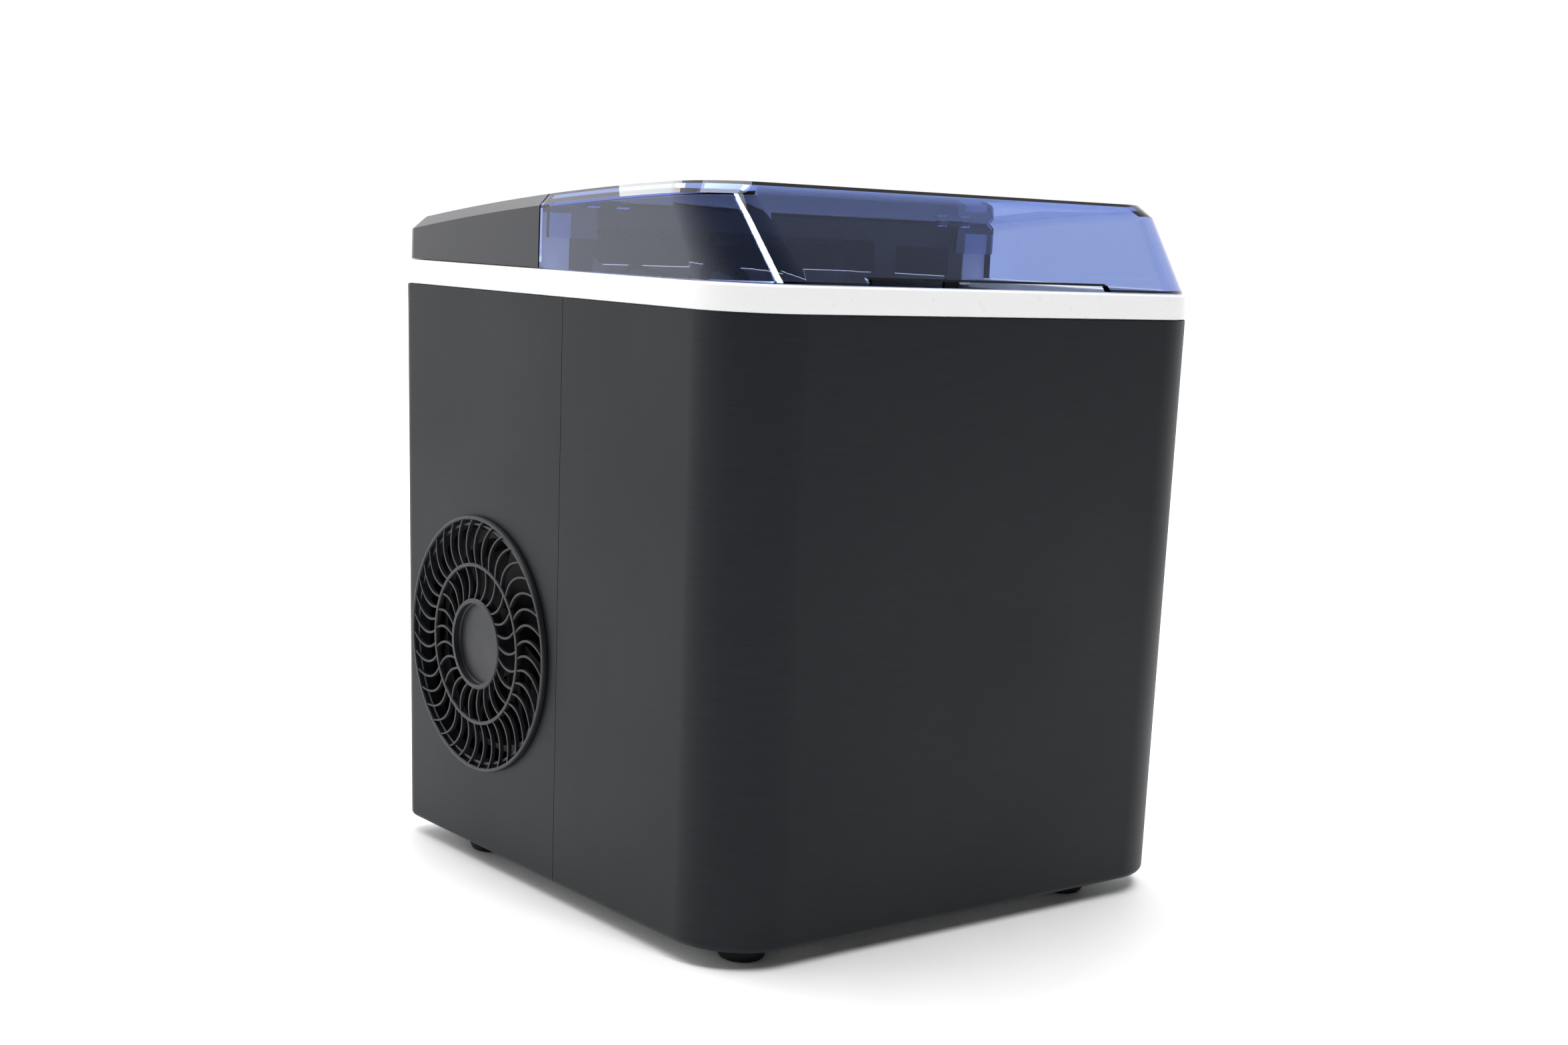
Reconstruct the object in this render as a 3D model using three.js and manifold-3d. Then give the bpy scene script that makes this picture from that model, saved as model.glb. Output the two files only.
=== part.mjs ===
// Countertop ice maker, millimetres, +Z up, front towards -Y, origin on the floor
// below the middle of the cabinet.
import * as THREE from 'three';
import { mergeVertices } from 'three/addons/utils/BufferGeometryUtils.js';
import Module from 'manifold-3d';

const wasm = await Module();
wasm.setup();

// ---------------------------------------------------------------- driving dimensions
const WIDTH = 252;            // cabinet, left to right, at its top edge
const DEPTH = 252;            // cabinet, front to back, at its top edge
const FOOT_HEIGHT = 7;        // gap between the floor and the cabinet
const SHELL_HEIGHT = 240;
const BAND_HEIGHT = 10.7;
const CORNER = 31;            // radius of the two front corners
const REAR_CORNER = 9;
const SIDE_DRAFT = 3.5;       // how far each wall leans in at its foot
const FRONT_DRAFT = 1;
const REAR_DRAFT = 8;
const WALL = 1.8;             // cabinet shells
const COVER_WALL = 2.4;       // lid and rear cover
const GAP = 0.3;              // air between two pieces that touch
const SEAM_Y = 12.6;          // joint between the lid and the rear cover
const SEAM_GAP = 0.5;         // half the width of that joint
const SHELL_SEAM_Y = -8;      // joint between the front and rear shells
const UPPER_INSET = 1;        // lid and cover stand this far inside the cabinet outline
const CROWN_REAR = 12.4;      // height of the upper edge above the band, at the back
const CROWN_SEAM = 25.2;      // the same at the seam
const CROWN_FRONT = 32.2;     // the same at the front
const CHAMFER_IN = 4.2;
const CHAMFER_UP = 4.8;
const LID_RAKE = 24;          // how far the lid's front leans back
const LID_TOP_CORNER = 24;
const LID_PIVOT_IN = 3.2;     // hinge axis in front of the lid's rear edge
const LID_PIVOT_DOWN = 2.5;   // hinge axis below the lid's top at that edge
const GRILLE_Y = 53.6;
const GRILLE_Z = 89.6 + FOOT_HEIGHT;
const GRILLE_RADIUS = 55;
const OUTER_RIBS = 40;
const INNER_RIBS = 25;

// ---------------------------------------------------------------- derived levels
const SHELL_TOP = FOOT_HEIGHT + SHELL_HEIGHT;
const BAND_TOP = SHELL_TOP + BAND_HEIGHT;
const UPPER_BASE = BAND_TOP + GAP;
const UPPER_HALF = WIDTH / 2 - UPPER_INSET;
const UPPER_FRONT = -DEPTH / 2 + UPPER_INSET;
const UPPER_REAR = DEPTH / 2 - UPPER_INSET;
const FLOOR_Z = FOOT_HEIGHT + 2.8;      // top face of the base plate
const LID_REAR = SEAM_Y - SEAM_GAP;
const HINGE_Y = LID_REAR - LID_PIVOT_IN;
const HINGE_Z = BAND_TOP + crown(LID_REAR) + CHAMFER_UP - LID_PIVOT_DOWN;

// Upper edge above the band: a parabola through the rear, seam and front heights.
function crown(y) {
  const yRear = DEPTH / 2 - UPPER_INSET;
  const yFront = -DEPTH / 2 + UPPER_INSET + LID_RAKE;
  const rear = ((y - SEAM_Y) * (y - yFront)) / ((yRear - SEAM_Y) * (yRear - yFront));
  const seam = ((y - yRear) * (y - yFront)) / ((SEAM_Y - yRear) * (SEAM_Y - yFront));
  const front = ((y - yRear) * (y - SEAM_Y)) / ((yFront - yRear) * (yFront - SEAM_Y));
  return CROWN_REAR * rear + CROWN_SEAM * seam + CROWN_FRONT * front;
}

// ---------------------------------------------------------------- solid modelling
function solid(geometry) {
  const bare = geometry.clone();
  for (const name of ['normal', 'uv', 'uv1', 'color']) bare.deleteAttribute(name);
  const merged = mergeVertices(bare, 1e-4);
  return new wasm.Manifold(new wasm.Mesh({
    numProp: 3,
    vertProperties: new Float32Array(merged.attributes.position.array),
    triVerts: new Uint32Array(merged.index.array),
  }));
}

function toGeometry(manifold) {
  const mesh = manifold.getMesh();
  const geometry = new THREE.BufferGeometry();
  geometry.setAttribute('position', new THREE.BufferAttribute(new Float32Array(mesh.vertProperties), 3));
  geometry.setIndex(new THREE.BufferAttribute(new Uint32Array(mesh.triVerts), 1));
  return geometry;
}

const join = (first, ...rest) => rest.reduce((sum, piece) => sum.add(piece), first);
const cut = (first, ...rest) => rest.reduce((sum, piece) => sum.subtract(piece), first);

// A box given by its low and high corners.
function block(x0, x1, y0, y1, z0, z1) {
  const box = new THREE.BoxGeometry(x1 - x0, y1 - y0, z1 - z0);
  box.translate((x0 + x1) / 2, (y0 + y1) / 2, (z0 + z1) / 2);
  return solid(box);
}

const AXIS_TURN = {
  x: (geometry) => geometry.rotateZ(-Math.PI / 2),
  y: (geometry) => geometry,
  z: (geometry) => geometry.rotateX(Math.PI / 2),
};

// A round bar along x, y or z, starting at the given point.
function rod(axis, radius, length, x, y, z, sides = 24, tipRadius = radius) {
  const bar = new THREE.CylinderGeometry(tipRadius, radius, length, sides);
  bar.translate(0, length / 2, 0);
  AXIS_TURN[axis](bar).translate(x, y, z);
  return solid(bar);
}

// A turned piece about the vertical axis, from [radius, height] pairs.
function turned(profile, sides, x, y, z) {
  const lathe = new THREE.LatheGeometry(profile.map(([r, h]) => new THREE.Vector2(r, h)), sides);
  lathe.rotateX(Math.PI / 2).translate(x, y, z);
  return solid(lathe);
}

// A round tube along a smooth curve through hand-picked points.
function pipe(radius, points, steps, sides = 8) {
  const path = new THREE.CatmullRomCurve3(points.map((p) => new THREE.Vector3(...p)), false, 'centripetal');
  const section = new THREE.Shape();
  for (let i = 0; i < sides; i++) {
    const angle = (2 * Math.PI * i) / sides;
    const point = [radius * Math.cos(angle), radius * Math.sin(angle)];
    if (i === 0) section.moveTo(...point);
    else section.lineTo(...point);
  }
  return solid(new THREE.ExtrudeGeometry(section, { steps, extrudePath: path, bevelEnabled: false }));
}

// Left half of a rounded outline, from the rear to the front.
function leftOutline(half, front, rear, frontRadius, rearRadius) {
  const points = [];
  const rearSteps = 3;
  const sideSteps = 6;
  const frontSteps = 7;
  for (let i = 0; i <= rearSteps; i++) {
    const angle = Math.PI / 2 + (Math.PI / 2) * (i / rearSteps);
    points.push([-half + rearRadius + rearRadius * Math.cos(angle),
      rear - rearRadius + rearRadius * Math.sin(angle)]);
  }
  const from = rear - rearRadius;
  const to = front + frontRadius;
  for (let i = 1; i < sideSteps; i++) points.push([-half, from + ((to - from) * i) / sideSteps]);
  for (let i = 0; i <= frontSteps; i++) {
    const angle = Math.PI + (Math.PI / 2) * (i / frontSteps);
    points.push([-half + frontRadius + frontRadius * Math.cos(angle),
      front + frontRadius + frontRadius * Math.sin(angle)]);
  }
  return points;
}

// A closed body through mirrored outlines; each level is { outline, height(y) }.
function loft(levels) {
  const count = levels[0].outline.length;
  const positions = [];
  for (const { outline, height } of levels) {
    for (const [x, y] of outline) positions.push(x, y, height(y));
    for (const [x, y] of [...outline].reverse()) positions.push(-x, y, height(y));
  }
  const ring = 2 * count;
  const index = [];
  for (let level = 0; level + 1 < levels.length; level++) {
    for (let i = 0; i < ring; i++) {
      const a = level * ring + i;
      const b = level * ring + ((i + 1) % ring);
      index.push(a, b, b + ring, a, b + ring, a + ring);
    }
  }
  const last = (levels.length - 1) * ring;
  for (let i = 0; i + 1 < count; i++) {
    const [a, b, c, d] = [i, i + 1, ring - 2 - i, ring - 1 - i];
    index.push(a, c, b, a, d, c);
    index.push(last + a, last + b, last + c, last + a, last + c, last + d);
  }
  const geometry = new THREE.BufferGeometry();
  geometry.setAttribute('position', new THREE.BufferAttribute(new Float32Array(positions), 3));
  geometry.setIndex(index);
  return solid(geometry);
}

// ---------------------------------------------------------------- cabinet outlines
// Cabinet outline at height z, moved in by `inset`.
function cabinetLevel(z, inset) {
  const lean = 1 - (z - FOOT_HEIGHT) / SHELL_HEIGHT;
  return {
    outline: leftOutline(
      WIDTH / 2 - SIDE_DRAFT * lean - inset,
      -DEPTH / 2 + FRONT_DRAFT * lean + inset,
      DEPTH / 2 - REAR_DRAFT * lean - inset,
      CORNER - inset,
      Math.max(REAR_CORNER - inset, 1),
    ),
    height: () => z,
  };
}

function cabinetWall() {
  const outer = loft([
    cabinetLevel(FOOT_HEIGHT, 2.2),
    cabinetLevel(FOOT_HEIGHT + 0.7, 0.7),
    cabinetLevel(FOOT_HEIGHT + 2.4, 0),
    cabinetLevel(SHELL_TOP, 0),
  ]);
  const inner = loft([
    cabinetLevel(FOOT_HEIGHT - 1, WALL + 0.8),
    cabinetLevel(SHELL_TOP + 1, WALL),
  ]);
  return cut(outer, inner);
}

// Lid and rear cover share one arched body; wall = 0 gives its outside.
function upperBody(wall) {
  const half = UPPER_HALF - wall;
  const rear = UPPER_REAR - wall;
  const base = wall > 0 ? BAND_TOP - 1 : UPPER_BASE;
  const rearRadius = REAR_CORNER - wall;
  const rakedFront = UPPER_FRONT + LID_RAKE + wall;
  const edgeDrop = wall * 0.45;
  return loft([
    {
      outline: leftOutline(half, UPPER_FRONT + wall, rear, CORNER - wall, rearRadius),
      height: () => base,
    },
    {
      outline: leftOutline(half, rakedFront, rear, LID_TOP_CORNER - wall, rearRadius),
      height: (y) => BAND_TOP + crown(y) - edgeDrop,
    },
    {
      outline: leftOutline(half - CHAMFER_IN, rakedFront + CHAMFER_IN, rear - CHAMFER_IN,
        LID_TOP_CORNER - wall, rearRadius),
      height: (y) => BAND_TOP + crown(y) + CHAMFER_UP - wall,
    },
  ]);
}

const behind = (y) => block(-WIDTH, WIDTH, y, DEPTH, -50, 400);
const before = (y) => block(-WIDTH, WIDTH, -DEPTH, y, -50, 400);

// ---------------------------------------------------------------- cabinet
const DRAIN = { y: -60, z: 38, bore: 5.6 };

function frontShell() {
  const shell = cabinetWall().intersect(before(SHELL_SEAM_Y - GAP / 2));
  return cut(shell, rod('x', DRAIN.bore + 0.6, 20, WIDTH / 2 - 14, DRAIN.y, DRAIN.z, 24));
}

const REAR_WALL_Y = DEPTH / 2 - REAR_DRAFT;      // foot of the rear wall
const INLET = { x: 84, z: 46, half: 15, high: 11 };

function rearShell() {
  let shell = cabinetWall().intersect(behind(SHELL_SEAM_Y + GAP / 2));
  const hole = rod('x', GRILLE_RADIUS - 2.6, 20, -WIDTH / 2 - 5, GRILLE_Y, GRILLE_Z, 48);
  shell = cut(shell, hole);
  for (let i = 0; i < 9; i++) {
    const z = 92 + i * 9;
    shell = cut(shell, block(-70, 70, REAR_WALL_Y - 8, DEPTH, z, z + 3.4));
  }
  for (let i = 0; i < 12; i++) {
    const y = 20 + i * 7;
    shell = cut(shell, block(WIDTH / 2 - 12, WIDTH, y, y + 3, 48, 128));
  }
  const { x, z, half, high } = INLET;
  shell = cut(shell, block(x - half, x + half, REAR_WALL_Y - 12, DEPTH, z - high, z + high));
  return shell;
}

function topBand() {
  const outer = loft([
    { ...cabinetLevel(SHELL_TOP, 0), height: () => SHELL_TOP + GAP },
    { ...cabinetLevel(SHELL_TOP, 0.2), height: () => BAND_TOP - 2 },
    { ...cabinetLevel(SHELL_TOP, 1), height: () => BAND_TOP },
  ]);
  const lipInset = WALL + GAP + 0.3;
  const lip = loft([
    { ...cabinetLevel(SHELL_TOP, lipInset), height: () => SHELL_TOP - 5 },
    { ...cabinetLevel(SHELL_TOP, lipInset), height: () => SHELL_TOP + 2 },
  ]);
  const opening = loft([
    { ...cabinetLevel(SHELL_TOP, 12), height: () => SHELL_TOP - 20 },
    { ...cabinetLevel(SHELL_TOP, 12), height: () => BAND_TOP + 20 },
  ]);
  const hollow = loft([
    { ...cabinetLevel(SHELL_TOP, lipInset + 2), height: () => SHELL_TOP - 20 },
    { ...cabinetLevel(SHELL_TOP, lipInset + 2), height: () => BAND_TOP - 3 },
  ]);
  let band = cut(join(outer, lip), opening, hollow);
  for (const side of [-1, 1]) {
    const [a, b] = [side * 107.6, side * (UPPER_HALF - COVER_WALL - 1)];
    const top = BAND_TOP + crown(24) - 1.5;
    band = join(band, block(Math.min(a, b), Math.max(a, b), SEAM_Y + 2.2, 24, BAND_TOP - 2, top));
  }
  return band;
}

// ---------------------------------------------------------------- rear cover and panel
const PANEL_Y = 72;
const PANEL_SLOPE = Math.atan((crown(PANEL_Y + 20) - crown(PANEL_Y - 20)) / 40);
const PANEL_HALF_X = 62;
const PANEL_HALF_Y = 25;
const PANEL_THICK = 1.6;
const BUTTONS = [
  { name: 'button_power', x: -38 },
  { name: 'button_ice_size', x: 0 },
  { name: 'button_clean', x: 38 },
];
const BUTTON_RADIUS = 7;
const BUTTON_LOCAL_Y = -9;
const DISPLAY = { halfX: 22, halfY: 7, y: 10 };

// Frame of the control panel: origin on its outer face, z along its normal.
function panelMatrix() {
  const height = BAND_TOP + crown(PANEL_Y) + CHAMFER_UP - 0.35;
  return new THREE.Matrix4()
    .makeTranslation(0, PANEL_Y, height)
    .multiply(new THREE.Matrix4().makeRotationX(PANEL_SLOPE));
}

function inPanel(manifold) {
  const geometry = toGeometry(manifold);
  geometry.applyMatrix4(panelMatrix());
  return solid(geometry);
}

// Two knuckles on the front edge of the rear cover hold the pins of the lid.
const KNUCKLE = { x0: 90, x1: 98, radius: 2.3, bore: 1.5 };

function knuckle(side) {
  const [a, b] = [side * KNUCKLE.x0, side * KNUCKLE.x1].sort((p, q) => p - q);
  return join(
    rod('x', KNUCKLE.radius, b - a, a, HINGE_Y, HINGE_Z, 24),
    block(a, b, HINGE_Y, SEAM_Y + SEAM_GAP + 1, HINGE_Z - KNUCKLE.radius, HINGE_Z + 1.9),
  );
}

function rearCover() {
  let cover = cut(upperBody(0), upperBody(COVER_WALL)).intersect(behind(SEAM_Y + SEAM_GAP));
  const pocket = block(-PANEL_HALF_X - GAP, PANEL_HALF_X + GAP, -PANEL_HALF_Y - GAP,
    PANEL_HALF_Y + GAP, -PANEL_THICK - GAP, 6);
  cover = cut(cover, inPanel(pocket));
  for (const { x } of BUTTONS) {
    cover = cut(cover, inPanel(rod('z', BUTTON_RADIUS + 0.5, 20, x, BUTTON_LOCAL_Y, -12, 24)));
  }
  const { halfX, halfY, y } = DISPLAY;
  cover = cut(cover, inPanel(block(-halfX - 1, halfX + 1, y - halfY - 1, y + halfY + 1, -12, 4)));
  return cut(join(cover, knuckle(-1), knuckle(1)),
    rod('x', KNUCKLE.bore, 2 * WIDTH, -WIDTH, HINGE_Y, HINGE_Z, 24));
}

function panelOverlay() {
  let plate = block(-PANEL_HALF_X, PANEL_HALF_X, -PANEL_HALF_Y, PANEL_HALF_Y, -PANEL_THICK, 0);
  for (const { x } of BUTTONS) {
    plate = cut(plate, rod('z', BUTTON_RADIUS + 0.4, 10, x, BUTTON_LOCAL_Y, -5, 24));
  }
  const { halfX, halfY, y } = DISPLAY;
  return inPanel(cut(plate, block(-halfX, halfX, y - halfY, y + halfY, -5, 5)));
}

function displayWindow() {
  const { halfX, halfY, y } = DISPLAY;
  const pane = block(-halfX + GAP, halfX - GAP, y - halfY + GAP, y + halfY - GAP, -3.4, 0);
  return inPanel(pane);
}

function buttonCap(x) {
  return inPanel(turned([[0, -5.4], [BUTTON_RADIUS - 1.6, -5.4], [BUTTON_RADIUS - 1.6, -4.2],
    [BUTTON_RADIUS, -4.2], [BUTTON_RADIUS, 0.3], [BUTTON_RADIUS - 0.7, 0.9], [0, 0.7]],
  16, x, BUTTON_LOCAL_Y, 0));
}

function displayBoard() {
  let board = block(-58, 58, -18, 20, -10, -8.4);
  for (const { x } of BUTTONS) {
    board = join(board, block(x - 3, x + 3, BUTTON_LOCAL_Y - 3, BUTTON_LOCAL_Y + 3, -8.5, -6.9));
  }
  const { halfX, halfY, y } = DISPLAY;
  board = join(board, block(-halfX + 1, halfX - 1, y - halfY + 1, y + halfY - 1, -8.5, -3.8));
  return inPanel(join(board, block(-6, 6, -16, -11, -14, -9.9)));
}

// ---------------------------------------------------------------- lid
const PIN = { x0: 84, x1: 104, radius: 1.1, boss: 2.4 };
const LID_GAP = 0.45;         // air between the lid's foot and the band
const EAR_REACH = 121;

function lid() {
  let shell = cut(upperBody(0), upperBody(COVER_WALL)).intersect(before(LID_REAR));
  shell = cut(shell, block(-WIDTH, WIDTH, -DEPTH, DEPTH, 0, BAND_TOP + LID_GAP),
    block(-66, 62, -DEPTH, -100, BAND_TOP - 1, UPPER_BASE + 2.4));
  const inside = upperBody(COVER_WALL - 0.2);
  for (const side of [-1, 1]) {
    const [a, b] = [side * KNUCKLE.x1, side * EAR_REACH].sort((p, q) => p - q);
    const ear = block(a, b, SEAM_Y - 3.2, SEAM_Y - 1.2, BAND_TOP + CROWN_SEAM / 2, 400);
    const [p0, p1] = [side * PIN.x0, side * PIN.x1].sort((p, q) => p - q);
    const [n0, n1] = [side * (KNUCKLE.x0 - 0.4), side * (KNUCKLE.x1 + 0.4)].sort((p, q) => p - q);
    const notch = block(n0, n1, HINGE_Y - KNUCKLE.radius - 0.5, SEAM_Y, HINGE_Z - 8, 400);
    const boss = rod('x', PIN.boss, p1 - p0, p0, HINGE_Y, HINGE_Z, 24);
    shell = join(shell, ear.intersect(inside), boss);
    shell = join(cut(shell, notch), rod('x', PIN.radius, p1 - p0 - 2, p0 + 1, HINGE_Y, HINGE_Z, 20));
  }
  return shell;
}

// ---------------------------------------------------------------- side grille
const GRILLE_PROUD = 2.4;     // ring face outside the cabinet wall
const GRILLE_DEEP = 7;
const RIB_SINK = 0.3;         // ribs stand this far behind the face of the rim
const MID_RING = 34;
const HUB_RING = 19.6;
const WALL_TILT = Math.atan(SIDE_DRAFT / SHELL_HEIGHT);
const GRILLE_X = WIDTH / 2 - SIDE_DRAFT * (1 - (GRILLE_Z - FOOT_HEIGHT) / SHELL_HEIGHT) + GRILLE_PROUD;
const SIDE_REACH = GRILLE_X + GRILLE_RADIUS * Math.sin(WALL_TILT);   // widest half of the machine

// A flat ring about x, from x0 to x1 behind the grille's face.
function grilleRing(inner, outer, x0, x1, sides) {
  const tube = rod('x', outer, x1 - x0, x0, 0, 0, sides);
  return cut(tube, rod('x', inner, 40, x0 - 10, 0, 0, sides));
}

// Openings between bowed ribs from radius r0 to r1. A rib bends sideways by `bow` at its
// middle, and its outer end is turned by `skew` radians; both count towards rising angle.
function addOpenings(disc, count, r0, r1, bow, skew) {
  const steps = 2;
  const ribHalf = 0.45;
  const bend = (start, t, side) => {
    const radius = r0 + (r1 - r0) * t;
    const angle = start + skew * t + (bow * 4 * t * (1 - t) + side * ribHalf) / radius;
    return new THREE.Vector2(radius * Math.cos(angle), radius * Math.sin(angle));
  };
  for (let i = 0; i < count; i++) {
    const start = (2 * Math.PI * i) / count;
    const next = (2 * Math.PI * (i + 1)) / count;
    const points = [];
    for (let k = 0; k <= steps; k++) points.push(bend(start, k / steps, 1));
    for (let k = steps; k >= 0; k--) points.push(bend(next, k / steps, -1));
    disc.holes.push(new THREE.Path(points));
  }
}

function ribbedDisc() {
  const disc = new THREE.Shape();
  disc.absarc(0, 0, GRILLE_RADIUS - 0.7, 0, 2 * Math.PI);
  addOpenings(disc, OUTER_RIBS, MID_RING + 0.7, GRILLE_RADIUS - 1.6, -3.4, 0.087);
  addOpenings(disc, INNER_RIBS, HUB_RING - 0.4, MID_RING - 0.7, 2.4, 0.047);
  const depth = GRILLE_PROUD - GAP - RIB_SINK;
  const plate = new THREE.ExtrudeGeometry(disc, { depth, bevelEnabled: false, curveSegments: 48 });
  return solid(plate.rotateY(Math.PI / 2).translate(RIB_SINK, 0, 0));
}

function sideGrille() {
  const proud = GRILLE_PROUD - GAP;
  const grille = join(
    ribbedDisc(),
    rod('x', HUB_RING, 5, 0, 0, 0, 32),
    grilleRing(MID_RING - 0.8, MID_RING + 0.8, 0, proud, 48),
    grilleRing(GRILLE_RADIUS - 4.2, GRILLE_RADIUS - 3, proud - 0.5, GRILLE_DEEP, 48),
    grilleRing(GRILLE_RADIUS - 1.5, GRILLE_RADIUS, 0, proud, 48),
  ).subtract(rod('x', HUB_RING - 1.8, 6, -3, 0, 0, 32));
  const tilt = (-WALL_TILT * 180) / Math.PI;
  return grille.rotate([0, tilt, 0]).translate([-GRILLE_X, GRILLE_Y, GRILLE_Z]);
}

// ---------------------------------------------------------------- fan and condenser
const FAN_BACK_X = -92;
const FAN_RADIUS = 43;

function fanFrame() {
  const half = 47;
  const plate = block(FAN_BACK_X - 22, FAN_BACK_X, GRILLE_Y - half, GRILLE_Y + half,
    GRILLE_Z - half, GRILLE_Z + half);
  let frame = cut(plate, rod('x', FAN_RADIUS + 1.6, 60, FAN_BACK_X - 40, GRILLE_Y, GRILLE_Z, 40));
  for (const angle of [0.5, 2.6, 4.7]) {
    const arm = block(-3, 0, 15, FAN_RADIUS + 3, -2.5, 2.5).rotate([(angle * 180) / Math.PI, 0, 0]);
    frame = join(frame, arm.translate([FAN_BACK_X, GRILLE_Y, GRILLE_Z]));
  }
  return join(frame, rod('x', 17, 3, FAN_BACK_X - 3, GRILLE_Y, GRILLE_Z, 24));
}

const fanMotor = () => join(
  rod('x', 12, 9, FAN_BACK_X - 3.3 - 9, GRILLE_Y, GRILLE_Z, 24),
  rod('x', 1.5, 6, FAN_BACK_X - 3.3 - 14, GRILLE_Y, GRILLE_Z, 12),
);

function fanRotor() {
  const x0 = FAN_BACK_X - 21;
  const cup = cut(rod('x', 15, 16, x0, 0, 0, 24), rod('x', 12.6, 20, x0 + 7, 0, 0, 24),
    rod('x', 1.9, 30, x0 + 1.5, 0, 0, 12));
  let rotor = cup;
  const blades = 7;
  for (let i = 0; i < blades; i++) {
    const blade = block(-0.7, 0.7, 14, FAN_RADIUS - 1, -9, 9).rotate([0, 38, 0]);
    rotor = join(rotor, blade.translate([x0 + 8, 0, 0]).rotate([(360 * i) / blades, 0, 0]));
  }
  return rotor.translate([0, GRILLE_Y, GRILLE_Z]);
}

const COIL_FACE_X = FAN_BACK_X + 24;

function condenserFins() {
  let fins = block(FAN_BACK_X + 2, COIL_FACE_X, GRILLE_Y - 45, GRILLE_Y + 45,
    GRILLE_Z - 45, GRILLE_Z + 45);
  const slots = 16;
  for (let i = 0; i < slots; i++) {
    const y = GRILLE_Y - 42 + (i * 84) / slots;
    fins = cut(fins, block(FAN_BACK_X, COIL_FACE_X + 5, y + 0.7, y + 4.3, GRILLE_Z - 42, GRILLE_Z + 42));
  }
  return fins;
}

function condenserCoil() {
  const x = COIL_FACE_X + 4;
  const points = [];
  const passes = 5;
  for (let i = 0; i < passes; i++) {
    const z = GRILLE_Z - 34 + i * 17;
    const [from, to] = i % 2 ? [36, -36] : [-36, 36];
    points.push([x, GRILLE_Y + from, z], [x, GRILLE_Y + to, z]);
  }
  return pipe(3, points, 36, 6);
}

// ---------------------------------------------------------------- ice compartment
const TANK = { half: 104, front: -108, mid: 5, rear: 103, floor: 128, rearFloor: 152, top: 246 };

function innerLiner() {
  const w = 2.2;
  const { half, front, mid, rear, floor, rearFloor, top } = TANK;
  const outer = join(
    block(-half, half, front, mid, floor, top),
    block(-half, half, mid - 5, rear, rearFloor, top),
  );
  const inner = join(
    block(-half + w, half - w, front + w, mid - w, floor + w, top + 5),
    block(-half + w, half - w, mid - 12, rear - w, rearFloor + w, top + 5),
  );
  return cut(outer, inner, rod('z', 3.6, 10, -60, -60, floor - 4, 16),
    rod('z', 3.6, 10, 60, -60, floor - 4, 16));
}

function iceBasket() {
  const [half, front, rear, floor, top, w] = [98, -102, -8, 144, 243, 2];
  let basket = cut(
    block(-half, half, front, rear, floor, top),
    block(-half + w, half - w, front + w, rear - w, floor + w, top + 5),
  );
  for (let i = 0; i < 7; i++) {
    const x = -84 + i * 26;
    basket = cut(basket, block(x, x + 12, front + 12, rear - 12, floor - 2, floor + 5));
    basket = cut(basket, block(x, x + 12, front - 5, rear + 5, floor + 14, 174));
  }
  for (const x of [-half + 4, half - 4]) {
    for (const y of [front + 4, rear - 4]) {
      basket = join(basket, block(x - 3, x + 3, y - 3, y + 3, TANK.floor + 2.2 + GAP, floor + 1));
    }
  }
  return cut(basket, block(-half + 12, half - 12, rear - 5, rear + 5, 184, top + 5),
    block(-26, 26, front - 5, front + 5, top - 14, top - 7));
}

const HOUSING_Y = SEAM_Y + 2.2;

function iceChuteFrame() {
  const top = BAND_TOP + crown(SEAM_Y) + CHAMFER_UP - COVER_WALL - 1;
  const [x, y0, y1] = [107, HOUSING_Y, HOUSING_Y + 2];
  const carrier = 235 + GAP;
  const frame = join(
    block(-x, x, y0, y1, TANK.top + GAP, top),
    block(-x, -x + 5, y0, 30, TANK.top + GAP, TANK.top + 5),
    block(x - 5, x, y0, 30, TANK.top + GAP, TANK.top + 5),
    block(-50, 50, y0, y1, carrier, TANK.top + 1),
    block(-50, 50, y0, 52, carrier, carrier + 3),
  );
  return cut(frame,
    block(-96, 53, y0 - 2, y1 + 2, BAND_TOP - 6, BAND_TOP + 17),
    block(66, 98, y0 - 2, y1 + 2, BAND_TOP - 6, BAND_TOP + 15));
}

// ---------------------------------------------------------------- ice making mechanism
const TRAY = { y0: 25, pivotY: 75, floor: 200, top: 222, half: 60 };

function evaporator() {
  let plate = block(-52, 52, 31, 66, 226, 235);
  const rows = [{ y: 40, count: 5 }, { y: 57, count: 4 }];
  for (const { y, count } of rows) {
    for (let i = 0; i < count; i++) {
      const x = (i - (count - 1) / 2) * 21;
      plate = join(plate, turned([[0, 0], [3, 0.8], [4.5, 3.4], [4.5, 21], [0, 21]], 12, x, y, 206));
    }
  }
  return plate;
}

function waterTray() {
  const { y0, pivotY, floor, top, half } = TRAY;
  let tray = cut(
    block(-half - 8, half, y0, pivotY - 4, floor, top),
    block(-half - 6, half - 2, y0 + 2, pivotY - 6, floor + 2, top + 5),
  );
  for (const [x0, x1] of [[-half - 8, -half - 6], [half - 2, half]]) {
    tray = join(tray, block(x0, x1, pivotY - 8, pivotY + 3, top - 9, top + 3));
  }
  return join(tray,
    rod('x', 3, 8, half - 1, pivotY, top - 2, 16),
    rod('x', 3, 8, -half - 15, pivotY, top - 2, 16));
}

function iceShovel() {
  const { y0, floor, half } = TRAY;
  const plate = block(-half + 6, half - 6, -1, 1, -17, 0).rotate([-42, 0, 0]);
  let shovel = plate.translate([0, y0 + 8, floor - 1.6]);
  for (let i = 0; i < 4; i++) {
    const x = -42 + i * 28;
    shovel = cut(shovel, block(x - 3, x + 3, y0 - 10, y0 + 60, floor - 30, floor - 7));
  }
  return shovel;
}

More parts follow.
